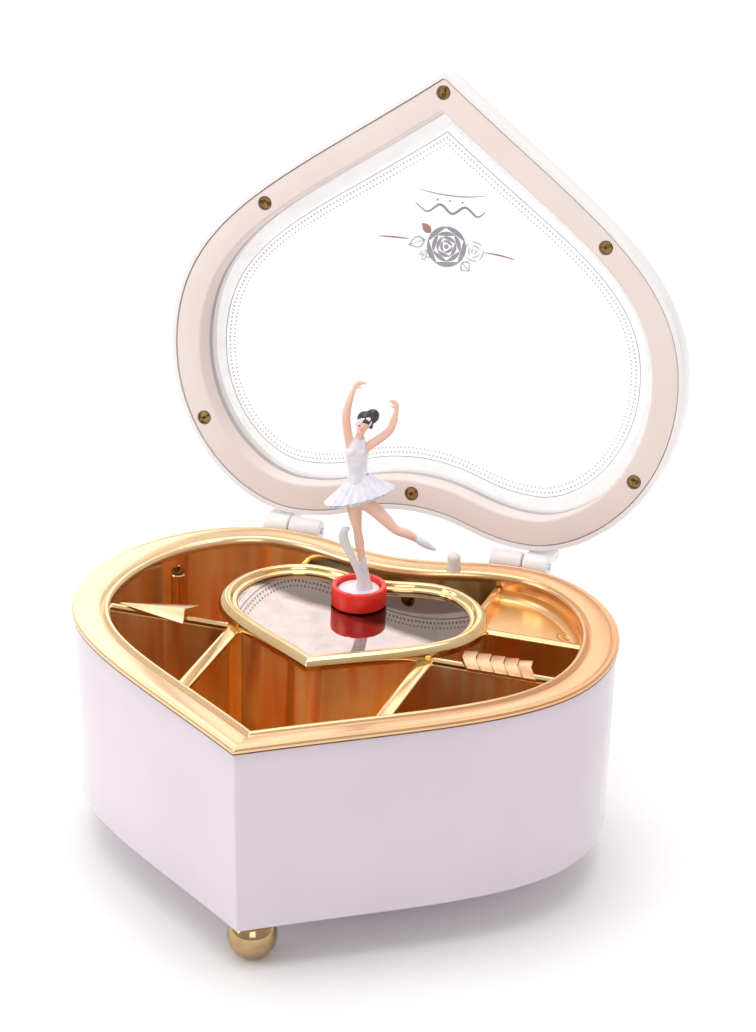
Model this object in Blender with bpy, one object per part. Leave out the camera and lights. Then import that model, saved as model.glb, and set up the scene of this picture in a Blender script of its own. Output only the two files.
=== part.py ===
"""Heart-shaped jewellery box with a wind-up movement and a magnetic dancer.

Lengths are in millimetres and become metres when a mesh is made.  The box is
laid out around its own centre: X across the lobes, the heart's tip towards -Y,
and height 0 at the top of the gold rim.  Everything hangs on one empty, which
finally stands the box on the floor, centred under its bounding box.
"""

from math import cos, pi, radians, sin, sqrt, tau

import bmesh
import bpy
from mathutils import Matrix, Vector

MM = 0.001

# Heart outline, measured on the outer edge of the rim.
HALF_WIDTH = 82.5
TIP_Y = -89.9
LOBE_X = 38.2
LOBE_Y = 53.3
CLEFT_Y = 46.6
FLANK_ANGLE = radians(37)
HEART_STEPS = 8

# Casing and tray.
CASING_HEIGHT = 59.5
CASING_SET_BACK = 0.6
CASING_DRAFT = 1.5
CASING_WALL = 2.0
FLOOR_TOP = -57.3
TRAY_FLOOR = -44.0
TRAY_WALL = 1.5
BACK_RATIO = 0.7
BASIN_INSET = 11.6
DIVIDER_X = 30.0
ARROW_Y = -12.5
SHELF_Y = 16.0
SHELF_Z = -8.0
WELL_LEFT = -27.0
WELL_RIGHT = 34.0

# Stage in the middle of the tray.
STAGE_SCALE = (0.498, 0.452)
STAGE_Y = 8.1
BEZEL_WIDTH = 5.2
COLUMN_INSET = 0.8
STAGE_TOP = -1.2

# Lid and its hinges.
HINGE_Y = 57.1
HINGE_Z = -0.7
LID_OPEN = radians(100.4)
LID_SEAT = 0.6
LID_HEIGHT = 14.6
KNUCKLE_RADIUS = 3.4
KNUCKLE_X = (27.8, 37.9, 38.4, 46.3)
PIN_RADIUS = 1.0

# Feet.
FOOT_RADIUS = 7.3
FOOT_DROP = 14.0
FOOT_FLAT = 7.0
FEET = {"front": (0.0, -75.0), "left": (-46.0, 26.0), "right": (46.0, 26.0)}

# Movement under the stage.
BARREL = (-15.0, 6.0)
BARREL_RADIUS = 12.6
GREAT_WHEEL_Z = -43.9
CYLINDER_Y = 6.0
CYLINDER_Z = -35.0
CYLINDER_RADIUS = 6.5
CYLINDER_X = (2.5, 23.0)
GOVERNOR = (13.0, 20.5)
ORBIT = (0.0, 1.5)
ORBIT_RADIUS = 12.0
BEDPLATE_Z = (-54.0, -52.0)
MOVEMENT_SCREWS = ((-30.0, 20.0), (22.0, 21.5))

# Dancer, drawn in a frame turned to face the front of the box.
DANCER_TURN = radians(18.85)
BASE_RING_RADIUS = 8.3
BASE_RING_HEIGHT = 6.0
COMB_HEEL = -13.9
PLUNGER = (19.5, 45.2)
PLUNGER_RADIUS = 1.9
PLUNGER_ROD_END = -46.5

MATERIALS = {
    "casing_plastic": ((0.88, 0.82, 0.83), 0.18, 0.0),
    "lid_plastic": ((0.93, 0.92, 0.92), 0.2, 0.0),
    "frame_plastic": ((0.87, 0.72, 0.67), 0.35, 0.0),
    "gold_plating": ((0.93, 0.68, 0.36), 0.14, 1.0),
    "stage_mirror": ((0.35, 0.25, 0.22), 0.04, 1.0),
    "window_clear": ((0.86, 0.84, 0.86), 0.08, 0.0),
    "screw_brass": ((0.60, 0.42, 0.20), 0.3, 1.0),
    "steel": ((0.62, 0.62, 0.64), 0.28, 1.0),
    "movement_brass": ((0.72, 0.55, 0.25), 0.3, 1.0),
    "black_plastic": ((0.02, 0.018, 0.02), 0.4, 0.0),
    "ring_red": ((0.78, 0.05, 0.03), 0.3, 0.0),
    "figure_white": ((0.90, 0.88, 0.93), 0.35, 0.0),
    "figure_skin": ((0.88, 0.62, 0.50), 0.4, 0.0),
    "figure_hair": ((0.02, 0.015, 0.015), 0.35, 0.0),
}


def clear_scene():
    for obj in list(bpy.data.objects):
        bpy.data.objects.remove(obj, do_unlink=True)


def material(name):
    found = bpy.data.materials.get(name)
    if found:
        return found
    colour, roughness, metallic = MATERIALS[name]
    made = bpy.data.materials.new(name)
    made.use_nodes = True
    shader = made.node_tree.nodes["Principled BSDF"]
    shader.inputs["Base Color"].default_value = (*colour, 1.0)
    shader.inputs["Roughness"].default_value = roughness
    shader.inputs["Metallic"].default_value = metallic
    made.diffuse_color = (*colour, 1.0)
    return made


def empty(name, parent=None, at=(0.0, 0.0, 0.0)):
    made = bpy.data.objects.new(name, None)
    made.location = Vector(at) * MM
    made.parent = parent
    bpy.context.scene.collection.objects.link(made)
    return made


def node(name, mesh_builder, finish, parent, smooth=True):
    """Turn a bmesh in millimetres into a named object with its own material."""
    bmesh.ops.remove_doubles(mesh_builder, verts=mesh_builder.verts, dist=1e-4)
    bmesh.ops.recalc_face_normals(mesh_builder, faces=mesh_builder.faces)
    bmesh.ops.scale(mesh_builder, vec=(MM, MM, MM), verts=mesh_builder.verts)
    mesh = bpy.data.meshes.new(name)
    mesh_builder.to_mesh(mesh)
    mesh_builder.free()
    obj = bpy.data.objects.new(name, mesh)
    bpy.context.scene.collection.objects.link(obj)
    obj.parent = parent
    if finish:
        mesh.materials.append(material(finish))
    if smooth:
        mesh.set_sharp_from_angle(angle=radians(35))
    return obj


def combine(target, tool, operation):
    """Add, cut or keep the common part of two solids; the tool stays hidden."""
    tool.hide_render = True
    tool.display_type = "WIRE"
    change = target.modifiers.new(tool.name, "BOOLEAN")
    change.operation = operation
    change.solver = "EXACT"
    change.object = tool


def cubic(a, b, c, d, steps):
    """Points on a cubic curve, without its last one."""
    a, b, c, d = Vector(a), Vector(b), Vector(c), Vector(d)
    points = []
    for i in range(steps):
        t = i / steps
        u = 1 - t
        points.append(a * u ** 3 + b * 3 * u * u * t + c * 3 * u * t * t + d * t ** 3)
    return points


def heart(inset=0.0, back_ratio=1.0, steps=HEART_STEPS):
    """The heart outline moved inwards; the lobes' backs move by back_ratio of it."""
    back = inset * back_ratio
    half = HALF_WIDTH - inset
    tip = Vector((0.0, TIP_Y + inset / cos(FLANK_ANGLE)))
    lobe = Vector((LOBE_X, LOBE_Y - back))
    cleft = Vector((0.0, CLEFT_Y - back))
    shrink = half / HALF_WIDTH
    reach = (half - LOBE_X) / (HALF_WIDTH - LOBE_X)
    along = 0.75 * half * Vector((cos(FLANK_ANGLE), sin(FLANK_ANGLE)))
    side = Vector((half, 0.0))
    flank = cubic(tip, tip + along, side - Vector((0, 38 * shrink)), side, steps + 2)
    shoulder = cubic(side, side + Vector((0, 33.2 * lobe.y / LOBE_Y)),
                     lobe + Vector((18.5 * reach, 0)), lobe, steps)
    valley = cubic(lobe, lobe - Vector((17, 0)), cleft + Vector((18.7, 0.4)), cleft, steps - 1)
    right = flank + shoulder + valley
    left = [Vector((-p.x, p.y)) for p in reversed(right[1:])]
    return right + [cleft] + left


def stage_heart(inset=0.0, steps=6):
    """The small heart of the stage, parallel to its own edge."""
    wide, deep = STAGE_SCALE
    outline = heart(inset / deep, 1.0, steps)
    return [Vector((p.x * wide, p.y * deep + STAGE_Y)) for p in outline]


def edge_x(y, inset, back_ratio=BACK_RATIO):
    """Half width of the inset heart at a height y below its lobes."""
    outline = heart(inset, back_ratio, 40)
    side = [p for p in outline[:95] if p.x >= 0]
    for a, b in zip(side, side[1:]):
        if (a.y - y) * (b.y - y) <= 0 and a.y != b.y:
            return a.x + (b.x - a.x) * (y - a.y) / (b.y - a.y)
    raise ValueError("no edge at this height")


def flank_y(x, outline):
    """Lowest y of an outline at a distance x from its middle line."""
    side = outline[:len(outline) // 2]
    for a, b in zip(side, side[1:]):
        if a.x <= x <= b.x:
            return a.y + (b.y - a.y) * (x - a.x) / (b.x - a.x)
    raise ValueError("no flank at this distance")


def circle(radius, count, centre=(0.0, 0.0), start=0.0):
    return [Vector((centre[0] + radius * cos(start + tau * i / count),
                    centre[1] + radius * sin(start + tau * i / count))) for i in range(count)]


def at_height(outline, z):
    return [Vector((p[0], p[1], z)) for p in outline]


def loft(rings, closed=False):
    """Skin rings of equal count; open lofts are capped, closed ones join up."""
    builder = bmesh.new()
    rows = [[builder.verts.new(p) for p in ring] for ring in rings]
    count = len(rows[0])
    pairs = list(zip(rows, rows[1:]))
    if closed:
        pairs.append((rows[-1], rows[0]))
    for low, high in pairs:
        for i in range(count):
            j = (i + 1) % count
            builder.faces.new((low[i], low[j], high[j], high[i]))
    if not closed:
        builder.faces.new(list(reversed(rows[0])))
        builder.faces.new(rows[-1])
    return builder


def prism(outline, low, high):
    return loft([at_height(outline, low), at_height(outline, high)])


def ring_prism(outer, inner, low, high):
    return loft([at_height(outer, low), at_height(outer, high),
                 at_height(inner, high), at_height(inner, low)], closed=True)


def heart_band(profile, back_ratio=1.0, steps=HEART_STEPS):
    """A closed profile of (inset, z) points carried around the heart."""
    return loft([at_height(heart(inset, back_ratio, steps), z) for inset, z in profile],
                closed=True)


def box(low, high):
    outline = [(low[0], low[1]), (high[0], low[1]), (high[0], high[1]), (low[0], high[1])]
    return prism(outline, low[2], high[2])


def revolve(profile, count=20, at=(0.0, 0.0)):
    """Turn (radius, z) points about a vertical axis; radius 0 closes an end."""
    builder = bmesh.new()
    rows = []
    for radius, z in profile:
        if radius == 0:
            rows.append([builder.verts.new((at[0], at[1], z))])
        else:
            rows.append([builder.verts.new((p.x, p.y, z)) for p in circle(radius, count, at)])
    if profile[0][0] > 0:
        rows.append(rows[0])
    for low, high in zip(rows, rows[1:]):
        for i in range(count):
            j = (i + 1) % count
            corners = [low[i % len(low)], low[j % len(low)], high[j % len(high)], high[i % len(high)]]
            unique = list(dict.fromkeys(corners))
            if len(unique) > 2:
                builder.faces.new(unique)
    return builder


def turned(builder, axis, at):
    """Swing a vertical shape so that +Z lies along an axis, then move it."""
    turn = Vector((0, 0, 1)).rotation_difference(Vector(axis)).to_matrix().to_4x4()
    bmesh.ops.transform(builder, matrix=Matrix.Translation(at) @ turn, verts=builder.verts)
    return builder


def limb(points, radii, count=10, flat=1.0):
    """A round tapering tube along points, each with its radius."""
    points = [Vector(p) for p in points]
    rings = []
    side = Vector((0, 1, 0))
    for i, (p, r) in enumerate(zip(points, radii)):
        ahead = points[min(i + 1, len(points) - 1)] - points[max(i - 1, 0)]
        across = ahead.cross(side).normalized()
        depth = across.cross(ahead).normalized()
        rings.append([p + across * r * cos(tau * k / count) + depth * r * flat * sin(tau * k / count)
                      for k in range(count)])
    return loft(rings)


def gear_outline(teeth, root, tip, centre=(0.0, 0.0)):
    """Four points a tooth: two on the root circle and two on the tip circle."""
    points = []
    for i in range(teeth):
        for share, radius in ((-0.30, root), (-0.16, tip), (0.16, tip), (0.30, root)):
            angle = tau * (i + share) / teeth
            points.append(Vector((centre[0] + radius * cos(angle), centre[1] + radius * sin(angle))))
    return points


def gear(teeth, root, tip, bore, low, high, centre=(0.0, 0.0)):
    outer = gear_outline(teeth, root, tip, centre)
    inner = circle(bore, len(outer), centre, -tau * 0.30 / teeth)
    return ring_prism(outer, inner, low, high)


def screw(head_radius, head, shank_radius, shank, top, at, count=12):
    """A pan-head screw pointing down, its head's top at the given height."""
    profile = [(0, top - head - shank), (shank_radius, top - head - shank),
               (shank_radius, top - head), (head_radius, top - head),
               (head_radius, top - 0.3 * head), (0.75 * head_radius, top), (0, top)]
    return revolve(profile, count, at)


# ---------------------------------------------------------------- casing


def make_casing(root):
    bottom = -CASING_HEIGHT
    low_inset = CASING_SET_BACK + CASING_DRAFT
    rings = [(low_inset + 2.4, bottom), (low_inset + 0.7, bottom + 0.6), (low_inset, bottom + 2.2),
             (CASING_SET_BACK, -1.8), (CASING_SET_BACK + CASING_WALL, -1.8),
             (low_inset + CASING_WALL, FLOOR_TOP)]
    casing = node("casing_shell", loft([at_height(heart(i), z) for i, z in rings]),
                  "casing_plastic", root)
    for k, place in enumerate(MOVEMENT_SCREWS):
        boss = revolve([(1.6, FLOOR_TOP - 0.4), (3.6, FLOOR_TOP - 0.4), (3.6, BEDPLATE_Z[0] - 0.3),
                        (1.6, BEDPLATE_Z[0] - 0.3)], 14, place)
        combine(casing, node(f"cutter_boss_{k}", boss, None, root), "UNION")
    key_hole = revolve([(0, bottom - 1), (3.4, bottom - 1), (3.4, FLOOR_TOP + 1), (0, FLOOR_TOP + 1)],
                       16, BARREL)
    combine(casing, node("cutter_key_hole", key_hole, None, root), "DIFFERENCE")


def make_feet(root):
    centre = -CASING_HEIGHT - FOOT_DROP + FOOT_FLAT
    top = -CASING_HEIGHT - 0.3
    low = -FOOT_FLAT
    profile = [(0, centre + low)]
    steps = 9
    first = sqrt(FOOT_RADIUS ** 2 - low ** 2)
    profile.append((first, centre + low))
    for i in range(1, steps):
        z = low + (top - centre - low) * (1 - cos(pi * i / steps)) / 2
        profile.append((sqrt(FOOT_RADIUS ** 2 - z * z), centre + z))
    profile.append((sqrt(FOOT_RADIUS ** 2 - (top - centre) ** 2), top))
    profile.append((0, top))
    for name, place in FEET.items():
        node(f"foot_{name}", revolve(profile, 16, place), "gold_plating", root)


# ---------------------------------------------------------------- gold tray


def divider(x_low, x_high):
    """A wall from the stage column to the flank, cut to the slant at both ends."""
    wall = heart(BASIN_INSET - TRAY_WALL / 2, BACK_RATIO, 24)
    column = stage_heart(COLUMN_INSET + 0.8, 24)
    outline = [(x_low, flank_y(abs(x_low), wall)), (x_high, flank_y(abs(x_high), wall)),
               (x_high, flank_y(abs(x_high), column)), (x_low, flank_y(abs(x_low), column))]
    return prism(outline, TRAY_FLOOR - 1.0, -3.0)


def cross_wall(side, y_low, y_high, top):
    """A wall across the basin from the column to the rim's wall on one side."""
    inset = BASIN_INSET - TRAY_WALL / 2
    inner = 24.0 if y_low < 0 else 37.5
    outline = [(side * inner, y_low), (side * edge_x(y_low, inset), y_low),
               (side * edge_x(y_high, inset), y_high), (side * inner, y_high)]
    return prism(outline, TRAY_FLOOR - 1.0, top)


def rail(side):
    """The arrow's shaft: a low rail on top of its wall, up to the bezel."""
    outer = edge_x(ARROW_Y, BASIN_INSET - 0.6)
    inner = max(p.x for p in stage_heart(0.0, 24) if abs(p.y - ARROW_Y) < 2.2) + 0.5
    x_low, x_high = sorted((side * inner, side * outer))
    return box((x_low, ARROW_Y - 1.1, -4.2), (x_high, ARROW_Y + 1.1, -1.8))


def make_tray(root):
    wall = BASIN_INSET - TRAY_WALL
    rim = [(0.0, -1.5), (0.0, -0.6), (0.7, 0.0), (3.0, 0.0), (8.4, -0.9), (9.3, -1.5), (9.9, -0.6),
           (10.8, -0.6), (BASIN_INSET, -1.6), (BASIN_INSET, TRAY_FLOOR - 2.0),
           (wall, TRAY_FLOOR - 2.0), (wall, -3.2), (4.6, -3.0), (4.6, -1.5)]
    tray = node("compartment_tray", heart_band(rim, BACK_RATIO), "gold_plating", root)
    inside = heart(BASIN_INSET - TRAY_WALL / 2, BACK_RATIO)
    column = ring_prism(stage_heart(COLUMN_INSET), stage_heart(COLUMN_INSET + 1.6),
                        TRAY_FLOOR - 2.4, -3.2)
    shelf_cut = box((34, SHELF_Y - 0.4, SHELF_Z - 3), (90, 60, SHELF_Z + 3))
    shelf = node("cutter_shelf", prism(inside, SHELF_Z - 2.0, SHELF_Z), None, root)
    combine(shelf, node("cutter_shelf_corner", shelf_cut, None, root), "INTERSECT")
    added = {
        "floor": prism(inside, TRAY_FLOOR - 1.7, TRAY_FLOOR),
        "column": column,
        "divider_left": divider(-DIVIDER_X - 0.9, -DIVIDER_X + 0.9),
        "divider_right": divider(DIVIDER_X - 0.9, DIVIDER_X + 0.9),
        "arrow_left": cross_wall(-1, ARROW_Y - 0.9, ARROW_Y + 0.9, -3.4),
        "arrow_right": cross_wall(1, ARROW_Y - 0.9, ARROW_Y + 0.9, -3.4),
        "rail_left": rail(-1),
        "rail_right": rail(1),
        "shelf_front": cross_wall(1, SHELF_Y - 1.2, SHELF_Y + 0.6, -4.6),
        "well_left": box((WELL_LEFT - 0.8, 26, TRAY_FLOOR - 1), (WELL_LEFT + 0.8, 43.8, -4)),
        "well_right": box((WELL_RIGHT - 0.8, 20, TRAY_FLOOR - 1), (WELL_RIGHT + 0.8, 44.6, -4)),
        "post": revolve([(0, TRAY_FLOOR - 1.2), (2.2, TRAY_FLOOR - 1.2), (2.2, -5), (0, -5)], 12,
                        (-61.5, 21.0)),
    }
    for name, shape in added.items():
        combine(tray, node(f"cutter_{name}", shape, None, root), "UNION")
    combine(tray, shelf, "UNION")
    removed = {
        "column_inside": prism(stage_heart(COLUMN_INSET + 1.6), TRAY_FLOOR - 4, 5),
        "under_shelf": box((48, 22, TRAY_FLOOR - 4), (62, 36, TRAY_FLOOR + 2)),
        "well_floor": box((WELL_LEFT + 2, 36, TRAY_FLOOR - 4), (WELL_RIGHT - 2, 40, TRAY_FLOOR + 2)),
    }
    for name, shape in removed.items():
        combine(tray, node(f"cutter_{name}", shape, None, root), "DIFFERENCE")
    node("tray_screw", revolve([(0, -4.7), (2.0, -4.7), (2.0, -4.0), (1.4, -3.4), (0, -3.4)], 14,
                               (-61.5, 21.0)), "screw_brass", root)


def make_channel_liner(root):
    """Black cover strip over the movement behind the stage."""
    front = [p for p in stage_heart(-0.5, 14) if abs(p.x) < 25 and p.y > 20]
    back = [p for p in heart(BASIN_INSET + 0.5, BACK_RATIO, 14) if abs(p.x) < 25 and p.y > 20]
    outline = sorted(front, key=lambda p: p.x) + sorted(back, key=lambda p: -p.x)
    node("channel_liner", prism(outline, -9.0, -7.5), "black_plastic", root)


def make_arrow(root):
    """Arrow head on the left shaft and feathers on the right one."""
    low = -1.5
    builder = bmesh.new()
    head = [(-66.5, ARROW_Y), (-43.5, ARROW_Y - 6.7), (-45.5, ARROW_Y), (-43.5, ARROW_Y + 6.7)]
    base = [builder.verts.new((x, y, low)) for x, y in head]
    crest = [builder.verts.new((-65.5, ARROW_Y, low + 0.7)), builder.verts.new((-44, ARROW_Y - 6.3, low + 0.7)),
             builder.verts.new((-45.5, ARROW_Y, low + 2.2)), builder.verts.new((-44, ARROW_Y + 6.3, low + 0.7))]
    builder.faces.new((base[0], base[1], base[2]))
    builder.faces.new((base[0], base[2], base[3]))
    builder.faces.new((crest[0], crest[1], crest[2]))
    builder.faces.new((crest[0], crest[2], crest[3]))
    for i in range(4):
        j = (i + 1) % 4
        builder.faces.new((base[i], base[j], crest[j], crest[i]))
    node("arrow_head", builder, "gold_plating", root)

    barbs = 5
    start, end, reach, slant = 41.0, 62.0, 5.3, 3.5
    step = (end - start) / barbs
    edge = []
    for i in range(barbs):
        edge.append((start + slant + i * step, reach))
        edge.append((start + slant + (i + 0.82) * step, reach + 0.35))
    lower = [(start, 0)] + edge + [(end + slant, reach), (end, 0)]
    upper = [(x, -y) for x, y in reversed(edge + [(end + slant, reach)])]
    outline = [(x, ARROW_Y - y) for x, y in lower + upper]
    node("arrow_fletching", prism(outline, low, low + 1.4), "gold_plating", root)


# ---------------------------------------------------------------- stage


def make_stage(root):
    profile = [(0.0, -2.9), (0.0, -1.2), (0.9, 0.2), (2.3, 0.8), (3.6, 0.3), (4.3, -0.5),
               (BEZEL_WIDTH, -0.9), (BEZEL_WIDTH, STAGE_TOP + 0.1), (1.6, STAGE_TOP + 0.1),
               (1.6, -2.9)]
    bezel = loft([at_height(stage_heart(inset), z) for inset, z in profile], closed=True)
    node("stage_bezel", bezel, "gold_plating", root)
    plate = prism(stage_heart(2.0), STAGE_TOP - 1.5, STAGE_TOP - 0.2)
    node("stage_mirror", plate, "stage_mirror", root)


# ---------------------------------------------------------------- lid


def make_hinges(root, lid):
    """Two knuckle hinges: inner knuckles on the casing, outer ones on the lid."""
    for side, word in ((-1, "left"), (1, "right")):
        for span, owner, parent, leaf_end in ((KNUCKLE_X[:2], "casing", root, -13.0),
                                              (KNUCKLE_X[2:], "lid", lid, 10.5)):
            low, high = sorted(side * x for x in span)
            outline = [p for p in circle(KNUCKLE_RADIUS, 16, (0.0, 0.0), pi / 16)]
            barrel = loft([[Vector((x, HINGE_Y + p.x, HINGE_Z + p.y)) for p in outline]
                           for x in (low, high)])
            frame_y = 0.0 if parent is root else -HINGE_Y
            frame_z = 0.0 if parent is root else -HINGE_Z
            bmesh.ops.translate(barrel, vec=(0, frame_y, frame_z), verts=barrel.verts)
            bracket = node(f"{owner}_knuckle_{word}", barrel, f"{owner}_plastic", parent)
            z_low, z_high = sorted((HINGE_Z, leaf_end))
            leaf = box((low, 53.9 + frame_y, z_low + frame_z), (high, 56.6 + frame_y, z_high + frame_z))
            combine(bracket, node(f"cutter_leaf_{owner}_{word}", leaf, None, parent), "UNION")
            bore = turned(revolve([(0, low - 1), (PIN_RADIUS + 0.3, low - 1),
                                   (PIN_RADIUS + 0.3, high + 1), (0, high + 1)], 14),
                          (1, 0, 0), (0, HINGE_Y + frame_y, HINGE_Z + frame_z))
            combine(bracket, node(f"cutter_bore_{owner}_{word}", bore, None, parent), "DIFFERENCE")
        ends = sorted((side * (KNUCKLE_X[0] - 0.4), side * (KNUCKLE_X[3] + 0.4)))
        pin = revolve([(0, ends[0]), (PIN_RADIUS, ends[0]), (PIN_RADIUS, ends[1]), (0, ends[1])], 14)
        node(f"hinge_pin_{word}", turned(pin, (1, 0, 0), (0, HINGE_Y, HINGE_Z)), "steel", root)


def make_lid(lid):
    """The lid is drawn shut, about the hinge line; its empty holds it open."""
    shell = [(0.0, LID_SEAT), (0.0, 8.5), (1.2, 12.2), (3.8, 14.0), (13.0, LID_HEIGHT),
             (14.0, 14.0), (14.0, 11.3), (4.4, 11.1), (2.2, 8.6), (1.5, LID_SEAT)]
    frame = [(1.8, 0.9), (1.8, 2.6), (8.2, 2.6), (8.4, 8.2), (9.9, 8.2), (9.9, 1.5), (9.3, 0.9)]
    shift = (0, -HINGE_Y, -HINGE_Z)

    def lid_node(name, builder, finish):
        bmesh.ops.translate(builder, vec=shift, verts=builder.verts)
        return node(name, builder, finish, lid)

    lid_node("lid_shell", heart_band(shell), "lid_plastic")
    inner = lid_node("lid_inner_frame", heart_band(frame), "frame_plastic")
    lid_node("lid_window", prism(heart(8.7), 8.6, 10.8), "window_clear")
    middle = 5.4
    sides = [(sign * edge_x(y, middle, 1.0), y) for y in (-43.0, 27.0) for sign in (-1, 1)]
    places = [(0.0, TIP_Y + 5.2 / cos(FLANK_ANGLE)), *sides, (0.0, CLEFT_Y - middle)]
    for i, place in enumerate(places):
        pocket = revolve([(0, 0), (2.25, 0), (2.25, 2.1), (1.3, 2.1), (1.3, 4), (0, 4)], 14, place)
        combine(inner, lid_node(f"cutter_screw_{i}", pocket, None), "DIFFERENCE")
        fixing = revolve([(0, 7.5), (1.0, 7.5), (1.0, 1.8), (1.9, 1.8), (1.9, 1.2), (1.4, 0.9), (0, 0.9)],
                         14, place)
        lid_node(f"lid_screw_{i + 1}", fixing, "screw_brass")


# ---------------------------------------------------------------- start and stop


def make_plunger(root):
    """The lid presses this pin down to stop the music; a spring lifts it."""
    r = PLUNGER_RADIUS
    hole = revolve([(0, -3.6), (r + 0.3, -3.6), (r + 0.3, 3), (0, 3)], 16, PLUNGER)
    tray = bpy.data.objects["compartment_tray"]
    combine(tray, node("cutter_plunger_hole", hole, None, root), "DIFFERENCE")
    pivot = empty("plunger_axis", root, (*PLUNGER, 0))
    end = PLUNGER_ROD_END
    pin = [(0, end), (0.5, end), (0.5, -8), (r, -8), (r, 3.4), (0.8 * r, 4.4), (0.4 * r, 4.8), (0, 4.9)]
    node("start_stop_plunger", revolve(pin, 16), "frame_plastic", pivot)
    arm = [(-1.5, 0.1), (-2.6, -3.0), (-8.4, -14.0), (-6.0, -17.0), (-3.6, -14.6), (1.6, -3.0), (1.2, 0.1)]
    node("stop_arm", prism(arm, end - 1.3, end - 0.3), "steel", pivot)
    spring = empty("plunger_spring_seat", pivot, (-2.4, -6.0, 0))
    node("plunger_spring", coil(1.6, 0.35, FLOOR_TOP + 0.5, end - 1.8, 4, 8), "steel", spring)


def coil(radius, wire, low, high, turns, count):
    """A round wire wound upwards, five-sided in section."""
    rings = []
    for i in range(turns * count + 1):
        angle = tau * i / count
        out = Vector((cos(angle), sin(angle), 0))
        middle = out * radius + Vector((0, 0, low + (high - low) * i / (turns * count)))
        rings.append([middle + wire * (out * cos(tau * k / 5) + Vector((0, 0, sin(tau * k / 5))))
                      for k in range(5)])
    return loft(rings)


# ---------------------------------------------------------------- movement


def make_movement_frame(root):
    low, high = BEDPLATE_Z
    plate = node("movement_bedplate", box((-34, -17, low), (28, 26, high)), "steel", root)
    riser = box((CYLINDER_X[0], COMB_HEEL, high - 0.5), (CYLINDER_X[1], -9.5, -35.8))
    combine(plate, node("cutter_riser", riser, None, root), "UNION")
    arbor_hole = revolve([(0, low - 1), (2.2, low - 1), (2.2, high + 1), (0, high + 1)], 14, BARREL)
    combine(plate, node("cutter_arbor_hole", arbor_hole, None, root), "DIFFERENCE")
    for i, place in enumerate(MOVEMENT_SCREWS):
        hole = revolve([(0, low - 1), (1.6, low - 1), (1.6, high + 1), (0, high + 1)], 12, place)
        combine(plate, node(f"cutter_plate_hole_{i}", hole, None, root), "DIFFERENCE")
        node(f"movement_screw_{i + 1}", screw(2.8, 1.4, 1.3, 5.0, high + 1.7, place), "steel", root)

    for word, x in (("left", 0.4), ("right", CYLINDER_X[1] + 1.0)):
        outline = circle(4.0, 16)
        stand = [Vector((p.x, max(p.y, -4.0))) for p in outline]
        for k in range(9, 16):
            stand[k] = Vector((outline[k].x, high + 0.3 - CYLINDER_Z))
        builder = bmesh.new()
        bore = circle(1.3, 16)
        rows = []
        for side_x in (x, x + 1.4):
            for ring in (stand, bore):
                rows.append([builder.verts.new((side_x, CYLINDER_Y + p.x, CYLINDER_Z + p.y))
                             for p in ring])
        for a, b in ((0, 1), (1, 3), (3, 2), (2, 0)):
            for i in range(16):
                j = (i + 1) % 16
                builder.faces.new((rows[a][i], rows[a][j], rows[b][j], rows[b][i]))
        node(f"cylinder_bearing_{word}", builder, "steel", root)


def make_comb(root):
    """Steel comb of eighteen tines, longest at the bass end."""
    count = 18
    left, right = CYLINDER_X
    pitch = (right - left) / count
    tip = CYLINDER_Y - CYLINDER_RADIUS - 1.0
    outline = [(right, COMB_HEEL)]
    for i in range(count):
        x = right - i * pitch
        root_y = -9.0 + 4.0 * i / count
        outline += [(x, tip), (x - 0.7 * pitch, tip)]
        if i < count - 1:
            outline += [(x - 0.7 * pitch, root_y), (x - pitch, root_y)]
    outline[-1] = (left, tip)
    outline.append((left, COMB_HEEL))
    comb = node("comb", prism(outline, -35.5, -34.4), "steel", root)
    place = (0.5 * (left + right), COMB_HEEL + 2.1)
    hole = revolve([(0, -40.0), (1.3, -40.0), (1.3, -33.0), (0, -33.0)], 12, place)
    cutter = node("cutter_comb_hole", hole, None, root)
    combine(comb, cutter, "DIFFERENCE")
    combine(bpy.data.objects["movement_bedplate"], cutter, "DIFFERENCE")
    node("comb_screw", screw(2.0, 1.1, 0.9, 4.4, -32.8, place), "steel", root)


def make_spring_drive(root):
    """Barrel with its mainspring, and the arbor and key that wind it."""
    barrel = empty("barrel_axis", root, (*BARREL, 0))
    r = BARREL_RADIUS
    top = GREAT_WHEEL_Z - 0.3
    cup = [(2.4, -51.6), (r, -51.6), (r, top), (r - 1.2, top), (r - 1.2, -50.6), (2.4, -50.6)]
    node("spring_barrel", revolve(cup, 24), "movement_brass", barrel)
    node("great_wheel", gear(30, 12.6, 13.8, 10.6, GREAT_WHEEL_Z, GREAT_WHEEL_Z + 1.5),
         "movement_brass", barrel)
    turns, count = 4, 14
    total = turns * count
    rings = []
    for i in range(total + 1):
        angle = tau * i / count
        radius = 3.2 + 7.4 * i / total
        out = Vector((cos(angle), sin(angle), 0))
        rings.append([out * (radius - 0.2) + Vector((0, 0, -49.9)), out * (radius + 0.2) + Vector((0, 0, -49.9)),
                      out * (radius + 0.2) + Vector((0, 0, -45.2)), out * (radius - 0.2) + Vector((0, 0, -45.2))])
    node("mainspring", loft(rings), "steel", barrel)

    key = empty("key_axis", root, (*BARREL, 0))
    shaft = [(0, -62.0), (1.6, -62.0), (1.6, -45.0), (0, -45.0)]
    node("winding_arbor", revolve(shaft, 14), "steel", key)
    wing = [(2.2, -62.4), (3.0, -65.5), (10.5, -64.6), (11.5, -67.5), (9.5, -70.6), (3.0, -69.4)]
    outline = wing + [(-x, z) for x, z in reversed(wing)]
    plate = loft([[Vector((x, y, z)) for x, z in outline] for y in (-1.1, 1.1)])
    node("winding_key", plate, "steel", key)


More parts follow.
